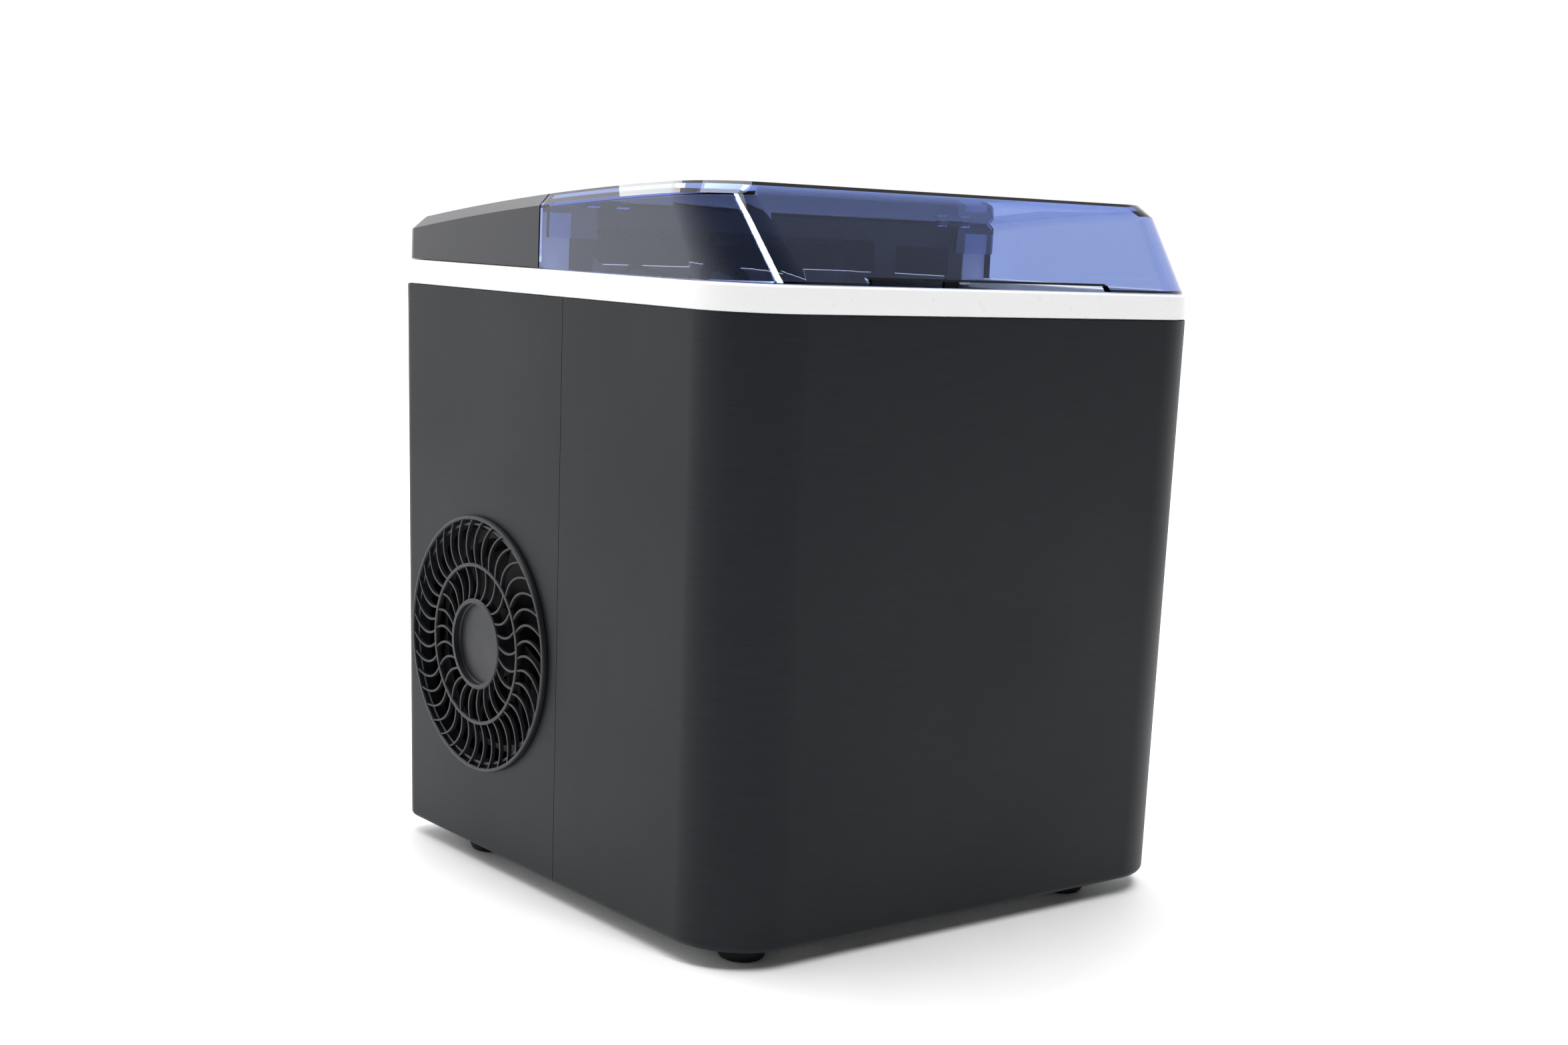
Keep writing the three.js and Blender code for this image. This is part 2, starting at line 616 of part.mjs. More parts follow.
function trayMotor() {
  const { pivotY, top, half } = TRAY;
  const body = join(
    block(half + 4.5, half + 28, pivotY - 18, pivotY + 16, top - 20, top + 16),
    rod('x', 9, 8, half + 28, pivotY, top - 2, 20),
  );
  return cut(body, rod('x', 3.5, 8, half + 1, pivotY, top - 2, 16));
}

function trayBearing() {
  const { pivotY, top, half } = TRAY;
  const stand = join(
    block(-half - 15, -half - 10, pivotY - 6, pivotY + 6, TANK.rearFloor + 2.5, top - 2),
    rod('x', 6, 5, -half - 15, pivotY, top - 2, 20),
  );
  return cut(stand, rod('x', 3.4, 10, -half - 17, pivotY, top - 2, 16));
}

// ---------------------------------------------------------------- water system
const PUMP = { x: -60, y: -60, z: 66 };

const waterPump = () => join(
  rod('z', 17, 30, PUMP.x, PUMP.y, PUMP.z, 24),
  rod('z', 20, 10, PUMP.x, PUMP.y, PUMP.z + 28, 24),
  rod('x', 3.5, 12, PUMP.x - 30, PUMP.y, PUMP.z + 33, 12),
  rod('z', 3.5, 12, PUMP.x, PUMP.y, PUMP.z + 36, 12),
);

const suctionHose = () => pipe(5, [
  [PUMP.x, PUMP.y, PUMP.z + 48.4], [PUMP.x, PUMP.y, TANK.floor - 8], [PUMP.x, PUMP.y, TANK.floor - 0.4],
], 3);

const trayHose = () => pipe(3.4, [
  [PUMP.x - 30.4, PUMP.y, PUMP.z + 33], [-99, PUMP.y, PUMP.z + 33], [-111, PUMP.y + 10, 110],
  [-113, -30, 150], [-112, 10, 205], [-110, 36, 240], [-106, 48, 257], [-94, 52, 264],
  [-78, 51, 262], [-65, 50, 250], [-64, 50, 238], [-64, 50, 226],
], 26, 6);

const drainHose = () => pipe(5, [
  [60, -60, TANK.floor - 0.4], [60, -60, 100], [66, -60, 60], [84, -60, 41], [98, -60, 38],
  [SOCKET_X - 0.5, -60, 38],
], 14, 6);

const SOCKET_X = WIDTH / 2 - SIDE_DRAFT - 15;     // inner end of the drain socket

function drainSocket() {
  const socket = join(
    rod('x', 8.5, 11, SOCKET_X, DRAIN.y, DRAIN.z, 24),
    rod('x', 12, 2, SOCKET_X + 10, DRAIN.y, DRAIN.z, 24),
  );
  return cut(socket, rod('x', DRAIN.bore, 30, SOCKET_X + 2, DRAIN.y, DRAIN.z, 20));
}

function drainPlug() {
  const flange = WIDTH / 2 - 2.5;
  const stem = DRAIN.bore - 0.4;
  return join(
    rod('x', stem, flange - SOCKET_X - 4, SOCKET_X + 5, DRAIN.y, DRAIN.z, 20),
    rod('x', 9, SIDE_REACH - flange, flange, DRAIN.y, DRAIN.z, 24),
  );
}

const levelProbe = () => join(
  block(80, 92, -6, 1, TANK.floor + 2.2 + GAP, TANK.floor + 6),
  rod('z', 2, 26, 86, -3, TANK.floor + 5, 12),
);

const iceSensor = () => join(
  block(-104, -97.5, 4, HOUSING_Y - GAP, TANK.top + GAP, TANK.top + 11),
  rod('x', 2.4, 3, -98, 8, TANK.top + 6, 12),
);

// ---------------------------------------------------------------- cooling circuit
const COMPRESSOR = { x: 44, y: 52, z: 20 };

const compressor = () => join(
  turned([[0, 0], [36, 0], [43, 5], [44, 20], [44, 92], [40, 106], [26, 115], [0, 118]], 32,
    COMPRESSOR.x, COMPRESSOR.y, COMPRESSOR.z + 2),
  block(COMPRESSOR.x - 48, COMPRESSOR.x + 48, COMPRESSOR.y - 30, COMPRESSOR.y + 30,
    COMPRESSOR.z, COMPRESSOR.z + 2.5),
);

const compressorMount = (dx, dy) => turned(
  [[0, 0], [7, 0], [7, 3], [5, 4.5], [7, 6], [7, 9.4], [0, 9.4]], 10,
  COMPRESSOR.x + dx, COMPRESSOR.y + dy, FLOOR_Z + GAP,
);

const filterDrier = () => turned(
  [[0, 0], [2, 0], [2, 6], [9, 12], [9, 50], [2, 56], [2, 62], [0, 62]], 16, -34, 92, 40,
);

const dischargePipe = () => pipe(3, [
  [-0.6, 58, 108], [-8, 60, 109], [-18, 70, 114], [-32, 86, 122], [-46, 99, 129], [-58, 102, 131],
  [-64, 97, GRILLE_Z + 34], [-64, GRILLE_Y + 36.5, GRILLE_Z + 34],
], 18, 6);

const liquidPipe = () => pipe(2, [
  [-64, GRILLE_Y - 36.6, GRILLE_Z - 34], [-64, 8, GRILLE_Z - 36], [-62, 4, 48], [-56, 20, 30],
  [-42, 60, 24], [-34, 88, 26], [-34, 92, 32], [-34, 92, 39.5],
], 18, 6);

const capillaryTube = () => pipe(1.2, [
  [-34, 92, 102.5], [-34, 96, 112], [-38, 110, 136], [-26, 110, 180], [-20, 110, 240],
  [-20, 104, 256], [-20, 80, 256], [-20, 62, 250], [-20, 60, 244], [-20, 60, 235.5],
], 24, 5);

const suctionPipe = () => pipe(3.6, [
  [20, 60, 235.5], [20, 60, 246], [20, 70, 256], [20, 98, 258], [22, 110, 246], [24, 110, 190],
  [40, 110, 150], [80, 106, 134], [103, 84, 122], [104, 62, 112], [98, 53, 107], [88.5, 52, 107],
], 28, 6);

const gasValve = () => join(
  block(-24, -4, 80, 100, 130, 148),
  rod('z', 4, 31, -14, 90, 118, 12),
);

// ---------------------------------------------------------------- base and electrics
const basePlate = () => loft([
  { ...cabinetLevel(FOOT_HEIGHT, WALL + 1.4), height: () => FLOOR_Z - 1.5 },
  { ...cabinetLevel(FOOT_HEIGHT, WALL + 1.4), height: () => FLOOR_Z },
]);

const foot = (x, y) => turned(
  [[0, 0], [8.4, 0], [9.6, 1.4], [10.2, FOOT_HEIGHT + 0.6], [0, FOOT_HEIGHT + 0.6]], 20, x, y, 0,
);

const FEET = [
  { name: 'foot_front_left', x: -97, y: -104 },
  { name: 'foot_front_right', x: 76, y: -104 },
  { name: 'foot_rear_left', x: -105, y: 70 },
  { name: 'foot_rear_right', x: 90, y: 70 },
];

const baseScrew = (x, y) => turned(
  [[0, 0], [2.4, 0], [3.4, 0.8], [3.4, 2], [0, 2]], 12, x, y, FLOOR_Z - 1.5 - GAP - 2,
);

const SCREWS = [
  { name: 'base_screw_front_left', x: -58, y: -117 },
  { name: 'base_screw_front_right', x: 84, y: -117 },
  { name: 'base_screw_rear_left', x: -60, y: 108 },
  { name: 'base_screw_rear_right', x: 60, y: 108 },
];

function mainBoard() {
  let board = block(-48, 48, -112, -110.4, 26, 112);
  const parts = [[-38, -14, 14, 38, 62], [-6, 10, 20, 34, 52], [18, 40, 16, 60, 84],
    [-40, -22, 10, 76, 92], [-8, 4, 8, 74, 92], [20, 42, 12, 92, 106]];
  for (const [x0, x1, high, z0, z1] of parts) {
    board = join(board, block(x0, x1, -110.5, -110.5 + high, z0, z1));
  }
  return board;
}

const boardBracket = () => join(
  block(-54, 54, -110, -92, FLOOR_Z + GAP, FLOOR_Z + 2),
  block(-54, 54, -110, -108.4, FLOOR_Z + GAP, 24),
);

function powerInlet() {
  const { x, z, half, high } = INLET;
  const face = REAR_WALL_Y + 3.6;
  const body = join(
    block(x - half + 1, x + half - 1, face - 26, face - 1, z - high + 1, z + high - 1),
    block(x - half - 3, x + half + 3, face - 1.6, face, z - high - 3, z + high + 3),
  );
  let inlet = cut(body, block(x - half + 4, x + half - 4, face - 18, face + 5, z - 7, z + 7));
  for (const [dx, dz] of [[-7, -2], [0, 2], [7, -2]]) {
    inlet = join(inlet, block(x + dx - 1, x + dx + 1, face - 20, face - 8, z + dz - 2, z + dz + 2));
  }
  return inlet;
}

// ---------------------------------------------------------------- finishes and assembly
const FINISH = {
  graphite: { color: 0x3b3d42, roughness: 0.5, metalness: 0.4 },
  white: { color: 0xf4f4f6, roughness: 0.25, metalness: 0 },
  cover: { color: 0x3f4047, roughness: 0.4, metalness: 0 },
  smoke: { color: 0x7f8fc0, roughness: 0.05, metalness: 0, transparent: true, opacity: 0.45 },
  black: { color: 0x17181b, roughness: 0.45, metalness: 0 },
  rubber: { color: 0x121214, roughness: 0.85, metalness: 0 },
  grey: { color: 0x8d8f92, roughness: 0.5, metalness: 0 },
  liner: { color: 0xb9bcc2, roughness: 0.4, metalness: 0 },
  basket: { color: 0xd8dade, roughness: 0.35, metalness: 0 },
  steel: { color: 0xb4b7bb, roughness: 0.3, metalness: 1 },
  copper: { color: 0xb8734a, roughness: 0.3, metalness: 1 },
  aluminium: { color: 0xc8cacd, roughness: 0.4, metalness: 1 },
  board: { color: 0x1f5a34, roughness: 0.6, metalness: 0 },
  silicone: { color: 0xe2e2dc, roughness: 0.5, metalness: 0 },
};

const iceMaker = new THREE.Group();

function add(name, manifold, finish) {
  const mesh = new THREE.Mesh(toGeometry(manifold), new THREE.MeshStandardMaterial(FINISH[finish]));
  mesh.name = name;
  iceMaker.add(mesh);
}

add('front_shell', frontShell(), 'graphite');
add('rear_shell', rearShell(), 'graphite');
add('top_band', topBand(), 'white');
add('rear_cover', rearCover(), 'cover');
add('control_panel', panelOverlay(), 'black');
add('display_window', displayWindow(), 'black');
add('display_board', displayBoard(), 'board');
for (const { name, x } of BUTTONS) add(name, buttonCap(x), 'grey');
add('lid', lid(), 'smoke');
add('side_grille', sideGrille(), 'graphite');
add('fan_frame', fanFrame(), 'black');
add('fan_motor', fanMotor(), 'grey');
add('fan_rotor', fanRotor(), 'black');
add('condenser_fins', condenserFins(), 'aluminium');
add('condenser_coil', condenserCoil(), 'copper');
add('inner_liner', innerLiner(), 'liner');
add('ice_basket', iceBasket(), 'basket');
add('ice_chute_frame', iceChuteFrame(), 'black');
add('evaporator', evaporator(), 'steel');
add('water_tray', waterTray(), 'liner');
add('ice_shovel', iceShovel(), 'black');
add('tray_motor', trayMotor(), 'black');
add('tray_bearing', trayBearing(), 'liner');
add('water_pump', waterPump(), 'black');
add('suction_hose', suctionHose(), 'silicone');
add('tray_hose', trayHose(), 'silicone');
add('drain_hose', drainHose(), 'silicone');
add('drain_socket', drainSocket(), 'black');
add('drain_plug', drainPlug(), 'rubber');
add('water_level_probe', levelProbe(), 'steel');
add('ice_full_sensor', iceSensor(), 'black');
add('compressor', compressor(), 'black');
add('compressor_mount_a', compressorMount(-40, -22), 'rubber');
add('compressor_mount_b', compressorMount(40, -22), 'rubber');
add('compressor_mount_c', compressorMount(-40, 22), 'rubber');
add('compressor_mount_d', compressorMount(40, 22), 'rubber');
add('filter_drier', filterDrier(), 'copper');
add('discharge_pipe', dischargePipe(), 'copper');
add('liquid_pipe', liquidPipe(), 'copper');
add('capillary_tube', capillaryTube(), 'copper');
add('suction_pipe', suctionPipe(), 'copper');
add('hot_gas_valve', gasValve(), 'steel');
add('base_plate', basePlate(), 'steel');
for (const { name, x, y } of FEET) add(name, foot(x, y), 'rubber');
for (const { name, x, y } of SCREWS) add(name, baseScrew(x, y), 'steel');
add('main_board', mainBoard(), 'board');
add('board_bracket', boardBracket(), 'steel');
add('power_inlet', powerInlet(), 'black');

export default iceMaker;
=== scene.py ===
"""Countertop ice maker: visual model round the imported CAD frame, metres, row frame."""
import math

import bmesh
import bpy
from mathutils import Matrix, Vector


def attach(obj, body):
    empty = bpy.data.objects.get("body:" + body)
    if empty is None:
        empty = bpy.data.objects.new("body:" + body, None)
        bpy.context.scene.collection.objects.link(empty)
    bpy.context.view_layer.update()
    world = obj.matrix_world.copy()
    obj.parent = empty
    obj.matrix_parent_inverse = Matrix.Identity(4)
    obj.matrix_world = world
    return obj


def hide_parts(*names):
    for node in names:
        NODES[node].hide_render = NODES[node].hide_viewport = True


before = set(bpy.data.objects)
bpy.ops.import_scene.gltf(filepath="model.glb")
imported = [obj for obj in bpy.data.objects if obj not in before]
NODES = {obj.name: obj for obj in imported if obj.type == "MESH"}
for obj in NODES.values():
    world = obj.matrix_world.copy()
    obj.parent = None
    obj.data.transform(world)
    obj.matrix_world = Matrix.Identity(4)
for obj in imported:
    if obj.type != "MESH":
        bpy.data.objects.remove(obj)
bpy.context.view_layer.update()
MM = 0.001

# ---------------------------------------------------------------- dimensions of the CAD, mm
WIDTH, DEPTH = 252, 252
FOOT_HEIGHT, SHELL_HEIGHT, BAND_HEIGHT = 7, 240, 10.7
CORNER, REAR_CORNER = 31, 9
SIDE_DRAFT, FRONT_DRAFT, REAR_DRAFT = 3.5, 1, 8
WALL, COVER_WALL, GAP = 1.8, 2.4, 0.3
SEAM_Y, SEAM_GAP, SHELL_SEAM_Y = 12.6, 0.5, -8
UPPER_INSET = 1
CROWN = {"rear": 12.4, "seam": 25.2, "front": 32.2}
CHAMFER_IN, CHAMFER_UP = 4.2, 4.8
LID_RAKE, LID_TOP_CORNER = 24, 24
SHELL_TOP = FOOT_HEIGHT + SHELL_HEIGHT
BAND_TOP = SHELL_TOP + BAND_HEIGHT
UPPER_BASE = BAND_TOP + GAP
UPPER_HALF = WIDTH / 2 - UPPER_INSET
UPPER_FRONT = -DEPTH / 2 + UPPER_INSET
UPPER_REAR = DEPTH / 2 - UPPER_INSET
GRILLE_Y, GRILLE_Z, GRILLE_RADIUS, GRILLE_PROUD = 53.6, 96.6, 55, 2.4
WALL_TILT = math.atan(SIDE_DRAFT / SHELL_HEIGHT)
GRILLE_X = WIDTH / 2 - SIDE_DRAFT * (1 - (GRILLE_Z - FOOT_HEIGHT) / SHELL_HEIGHT) + GRILLE_PROUD
MID_RING, HUB_RING = 34, 19.6
OUTER_RIBS, INNER_RIBS = 40, 25
LID_REAR = SEAM_Y - SEAM_GAP
LID_PIVOT_IN, LID_PIVOT_DOWN = 3.2, 2.5
HINGE_Y = LID_REAR - LID_PIVOT_IN
KNUCKLE_X, KNUCKLE_RADIUS, KNUCKLE_BORE = (90, 98), 2.3, 1.5
PIN_X, PIN_RADIUS, BOSS_RADIUS = (84, 104), 1.1, 2.4
LID_GAP = 0.45
EAR_REACH = 121


def crown(y):
    """Height of the upper edge above the band: a parabola through three heights."""
    rear_y = UPPER_REAR
    front_y = UPPER_FRONT + LID_RAKE
    rear = ((y - SEAM_Y) * (y - front_y)) / ((rear_y - SEAM_Y) * (rear_y - front_y))
    seam = ((y - rear_y) * (y - front_y)) / ((SEAM_Y - rear_y) * (SEAM_Y - front_y))
    front = ((y - rear_y) * (y - SEAM_Y)) / ((front_y - rear_y) * (front_y - SEAM_Y))
    return CROWN["rear"] * rear + CROWN["seam"] * seam + CROWN["front"] * front


HINGE_Z = BAND_TOP + crown(LID_REAR) + CHAMFER_UP - LID_PIVOT_DOWN

# ---------------------------------------------------------------- camera
AZIMUTH, ELEVATION, ROLL = (math.radians(a) for a in (-38.378, 7.56, 2.533))
CAMERA_PLACE = (-0.5920, -0.7436, 0.2761)
LENS, SENSOR = 50.0173, 36
back = Vector((
    math.sin(AZIMUTH) * math.cos(ELEVATION),
    -math.cos(AZIMUTH) * math.cos(ELEVATION),
    math.sin(ELEVATION),
))
level_right = Vector((0, 0, 1)).cross(back).normalized()
level_up = back.cross(level_right)
right = math.cos(ROLL) * level_right + math.sin(ROLL) * level_up
up = -math.sin(ROLL) * level_right + math.cos(ROLL) * level_up
camera_data = bpy.data.cameras.new("camera")
camera_data.sensor_width = SENSOR
camera_data.lens = LENS
camera_data.clip_start, camera_data.clip_end = 0.01, 50
camera = bpy.data.objects.new("camera", camera_data)
bpy.context.scene.collection.objects.link(camera)
turn = Matrix((right, up, back)).transposed().to_4x4()
camera.matrix_world = Matrix.Translation(CAMERA_PLACE) @ turn
bpy.context.scene.camera = camera


# ---------------------------------------------------------------- materials
class Paint:
    """A Principled material with helpers for procedural detail in object coordinates."""

    def __init__(self, name):
        self.material = bpy.data.materials.new(name)
        self.material.use_nodes = True
        self.nodes = self.material.node_tree.nodes
        self.links = self.material.node_tree.links
        self.shader = self.nodes["Principled BSDF"]
        self.place = self.nodes.new("ShaderNodeTexCoord").outputs["Object"]

    def set(self, **values):
        for socket, value in values.items():
            self.shader.inputs[socket.replace("_", " ")].default_value = value
        return self

    def noise(self, scale, stretch=(1, 1, 1), detail=3.0, rough=0.5):
        mapping = self.nodes.new("ShaderNodeMapping")
        mapping.inputs["Scale"].default_value = stretch
        self.links.new(self.place, mapping.inputs["Vector"])
        noise = self.nodes.new("ShaderNodeTexNoise")
        noise.inputs["Scale"].default_value = scale
        noise.inputs["Detail"].default_value = detail
        noise.inputs["Roughness"].default_value = rough
        self.links.new(mapping.outputs["Vector"], noise.inputs["Vector"])
        return noise.outputs["Fac"]

    def ramp(self, source, low, high, start=0.3, end=0.7):
        """source from start..end to low..high, either numbers or colours."""
        spread = self.nodes.new("ShaderNodeMapRange")
        spread.inputs["From Min"].default_value = start
        spread.inputs["From Max"].default_value = end
        self.links.new(source, spread.inputs["Value"])
        if isinstance(low, (int, float)):
            spread.inputs["To Min"].default_value = low
            spread.inputs["To Max"].default_value = high
            return spread.outputs["Result"]
        mix = self.nodes.new("ShaderNodeMix")
        mix.data_type = "RGBA"
        self.links.new(spread.outputs["Result"], mix.inputs["Factor"])
        mix.inputs["A"].default_value = (*low, 1)
        mix.inputs["B"].default_value = (*high, 1)
        return mix.outputs["Result"]

    def colour(self, source, low, high, start=0.3, end=0.7):
        self.links.new(self.ramp(source, low, high, start, end), self.shader.inputs["Base Color"])
        return self

    def roughness(self, source, low, high, start=0.3, end=0.7):
        self.links.new(self.ramp(source, low, high, start, end), self.shader.inputs["Roughness"])
        return self

    def bump(self, source, strength, distance):
        bump = self.nodes.new("ShaderNodeBump")
        bump.inputs["Strength"].default_value = strength
        bump.inputs["Distance"].default_value = distance
        self.links.new(source, bump.inputs["Height"])
        previous = self.shader.inputs["Normal"]
        if previous.is_linked:
            self.links.new(previous.links[0].from_socket, bump.inputs["Normal"])
        self.links.new(bump.outputs["Normal"], self.shader.inputs["Normal"])
        return self


def graphite_paint():
    """Satin graphite finish with very fine horizontal brushing."""
    paint = Paint("graphite")
    paint.set(Metallic=0.1, Specular_IOR_Level=0.22)
    streaks = paint.noise(1, stretch=(55, 55, 5200), detail=3, rough=0.6)
    cloud = paint.noise(14, detail=2)
    paint.colour(streaks, (0.0060, 0.0077, 0.0105), (0.0102, 0.0126, 0.0165), 0.34, 0.66)
    paint.roughness(cloud, 0.40, 0.48)
    return paint.bump(streaks, 0.12, 0.00005).material


def moulded(name, low, high, rough, grain=2600, bump=0.12, specular=0.5, spread=0.045):
    """Injection-moulded plastic: faint cloudiness and a fine eroded texture."""
    paint = Paint(name).set(Specular_IOR_Level=specular)
    cloud = paint.noise(22, detail=4)
    fine = paint.noise(grain, detail=2)
    paint.colour(cloud, low, high, 0.3, 0.7)
    paint.roughness(paint.noise(160, detail=3), rough - spread, rough + spread)
    return paint.bump(fine, bump, 0.00004).material


def metal(name, low, high, rough, stretch=(40, 40, 40), grain=30, bump=0.1):
    paint = Paint(name).set(Metallic=1.0)
    streaks = paint.noise(grain, stretch=stretch, detail=4, rough=0.6)
    paint.colour(streaks, low, high)
    paint.roughness(streaks, rough - 0.06, rough + 0.08)
    return paint.bump(streaks, bump, 0.00005).material


def smoke_plastic():
    """Clear plastic whose blue-grey tint comes from the thickness that light passes."""
    paint = Paint("lid_smoke")
    paint.set(Base_Color=(1, 1, 1, 1), Transmission_Weight=1.0, IOR=1.49)
    paint.roughness(paint.noise(90, detail=3), 0.0, 0.025, 0.45, 0.75)
    waves = paint.noise(9, detail=1)
    paint.bump(waves, 0.06, 0.0006)
    absorb = paint.nodes.new("ShaderNodeVolumeAbsorption")
    absorb.inputs["Color"].default_value = (0.09, 0.30, 0.80, 1)
    absorb.inputs["Density"].default_value = 235
    output = paint.nodes["Material Output"]
    paint.links.new(absorb.outputs["Volume"], output.inputs["Volume"])
    return paint.material


def board_paint():
    paint = Paint("board_green").set(Specular_IOR_Level=0.5)
    tracks = paint.nodes.new("ShaderNodeTexBrick")
    tracks.inputs["Scale"].default_value = 260
    tracks.inputs["Mortar Size"].default_value = 0.06
    paint.links.new(paint.place, tracks.inputs["Vector"])
    paint.colour(tracks.outputs["Fac"], (0.003, 0.020, 0.009), (0.007, 0.036, 0.017), 0.2, 0.8)
    paint.roughness(paint.noise(400), 0.3, 0.45)
    return paint.bump(tracks.outputs["Fac"], 0.2, 0.00004).material


GRAPHITE = graphite_paint()
WHITE = moulded("band_white", (0.880, 0.880, 0.886), (0.886, 0.886, 0.892), 0.28,
                bump=0.02, spread=0.008)
COVER = moulded("cover_dark", (0.0150, 0.0160, 0.0240), (0.0170, 0.0180, 0.0265), 0.31,
                bump=0.03, specular=0.38, spread=0.01)
SMOKE = smoke_plastic()
GLOSS_BLACK = moulded("panel_black", (0.006, 0.006, 0.007), (0.010, 0.010, 0.011), 0.10, bump=0.02)
BUTTON = moulded("button_grey", (0.30, 0.30, 0.31), (0.36, 0.36, 0.37), 0.36)
BLACK = moulded("plastic_black", (0.007, 0.007, 0.009), (0.013, 0.013, 0.015), 0.46,
                grain=1800, bump=0.2, specular=0.3)
DARK_GREY = moulded("plastic_dark_grey", (0.015, 0.016, 0.019), (0.021, 0.022, 0.026), 0.40, specular=0.35)
GREY = moulded("plastic_grey", (0.27, 0.27, 0.28), (0.34, 0.34, 0.35), 0.42)
LINER = moulded("liner_grey", (0.40, 0.41, 0.44), (0.47, 0.48, 0.51), 0.32)
BASKET = moulded("basket_pale", (0.52, 0.54, 0.58), (0.60, 0.62, 0.66), 0.24)
RUBBER = moulded("rubber_black", (0.008, 0.008, 0.009), (0.016, 0.016, 0.017), 0.72,
                 grain=3600, bump=0.4, specular=0.3)
SILICONE = moulded("silicone_pale", (0.52, 0.52, 0.48), (0.62, 0.62, 0.58), 0.45)
ENAMEL = moulded("compressor_enamel", (0.009, 0.009, 0.010), (0.014, 0.014, 0.015), 0.22,
                 bump=0.25, grain=700)
STEEL = metal("zinc_steel", (0.48, 0.49, 0.50), (0.66, 0.66, 0.66), 0.34, stretch=(1, 1, 30))
COPPER = metal("copper_tube", (0.55, 0.24, 0.13), (0.78, 0.42, 0.26), 0.28)
ALUMINIUM = metal("aluminium_fins", (0.55, 0.56, 0.58), (0.72, 0.73, 0.75), 0.32, stretch=(1, 60, 1))
BOARD = board_paint()


# ---------------------------------------------------------------- mesh helpers
BEVEL_STEPS, BEVEL_ANGLE = 2, 35
MERGE_DISTANCE = 2e-6        # metres
BOX_FACES = [(0, 1, 3, 2), (4, 6, 7, 5), (0, 4, 5, 1), (2, 3, 7, 6), (0, 2, 6, 4), (1, 5, 7, 3)]


def link(name, mesh):
    piece = bpy.data.objects.new(name, mesh)
    bpy.context.scene.collection.objects.link(piece)
    return piece


def mesh_of(name, points, faces):
    """A mesh from millimetre points."""
    mesh = bpy.data.meshes.new(name)
    mesh.from_pydata([Vector(p) * MM for p in points], [], faces)
    grown = bmesh.new()
    grown.from_mesh(mesh)
    bmesh.ops.recalc_face_normals(grown, faces=grown.faces)
    grown.to_mesh(mesh)
    grown.free()
    return mesh


def apply_modifiers(piece):
    """Bakes the modifiers of a piece into its mesh."""
    graph = bpy.context.evaluated_depsgraph_get()
    graph.update()
    baked = bpy.data.meshes.new_from_object(piece.evaluated_get(graph))
    piece.modifiers.clear()
    piece.data = baked
    return piece


def boolean(piece, other, operation="DIFFERENCE"):
    """Joins or cuts with another object, which is then removed."""
    step = piece.modifiers.new("boolean", "BOOLEAN")
    step.operation, step.object, step.solver = operation, other, "EXACT"
    apply_modifiers(piece)
    bpy.data.objects.remove(other)
    return piece


def bevel(piece, width):
    """Rounds every edge sharper than BEVEL_ANGLE by `width` millimetres."""
    step = piece.modifiers.new("bevel", "BEVEL")
    step.width, step.segments = width * MM, BEVEL_STEPS
    step.limit_method, step.angle_limit = "ANGLE", math.radians(BEVEL_ANGLE)
    step.miter_outer = "MITER_ARC"
    step.use_clamp_overlap = True
    return apply_modifiers(piece)


def smooth(piece, angle=32):
    mesh = piece.data
    mesh.polygons.foreach_set("use_smooth", [True] * len(mesh.polygons))
    mesh.set_sharp_from_angle(angle=math.radians(angle))
    mesh.update()
    step = piece.modifiers.new("normals", "WEIGHTED_NORMAL")
    step.mode, step.weight, step.keep_sharp = "FACE_AREA", 50, True
    return apply_modifiers(piece)


def done(piece, material, body="cabinet", replaces=()):
    """Gives a finished piece its material and body, and hides the CAD nodes that it stands for."""
    piece.data.materials.clear()
    piece.data.materials.append(material)
    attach(piece, body)
    if replaces:
        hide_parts(*replaces)
    return piece


def refined(node, material, width=0.3, body="cabinet"):
    """The CAD node's own shape with rounded edges and smooth shading."""
    mesh = NODES[node].data.copy()
    merged = bmesh.new()
    merged.from_mesh(mesh)
    bmesh.ops.remove_doubles(merged, verts=merged.verts, dist=MERGE_DISTANCE)
    bmesh.ops.dissolve_limit(merged, angle_limit=math.radians(0.6), verts=merged.verts,
                             edges=merged.edges)
    merged.to_mesh(mesh)
    merged.free()
    for attribute in [a.name for a in mesh.attributes if a.name in ("custom_normal", "sharp_face")]:
        mesh.attributes.remove(mesh.attributes[attribute])
    piece = link(f"{node}_visual", mesh)
    if width:
        bevel(piece, width)
    return done(smooth(piece), material, body, [node])


def boxes(name, extents):
    """Many blocks in one mesh; each extent is x0, x1, y0, y1, z0, z1."""
    points, faces = [], []
    for x0, x1, y0, y1, z0, z1 in extents:
        base = len(points)
        points += [(x, y, z) for x in (x0, x1) for y in (y0, y1) for z in (z0, z1)]
        faces += [tuple(base + i for i in face) for face in BOX_FACES]
    return link(name, mesh_of(name, points, faces))


def block(x0, x1, y0, y1, z0, z1, name="block"):
    return boxes(name, [(x0, x1, y0, y1, z0, z1)])


def lathe(profile, sides=96, name="lathe", closed=False):
    """Turned about z, from [radius, height] pairs in millimetres; ends on the axis or closed."""
    points, faces, rings = [], [], []
    for radius, height in profile:
        if radius < 1e-6:
            rings.append([len(points)] * sides)
            points.append((0, 0, height))
        else:
            rings.append(list(range(len(points), len(points) + sides)))
            for i in range(sides):
                angle = 2 * math.pi * i / sides
                points.append((radius * math.cos(angle), radius * math.sin(angle), height))
    pairs = list(zip(rings, rings[1:]))
    if closed:
        pairs.append((rings[-1], rings[0]))
    for low, high in pairs:
        for i in range(sides):
            j = (i + 1) % sides
            corners = [low[i], low[j], high[j], high[i]]
            faces.append(tuple(dict.fromkeys(corners)))
    return link(name, mesh_of(name, points, [f for f in faces if len(f) > 2]))


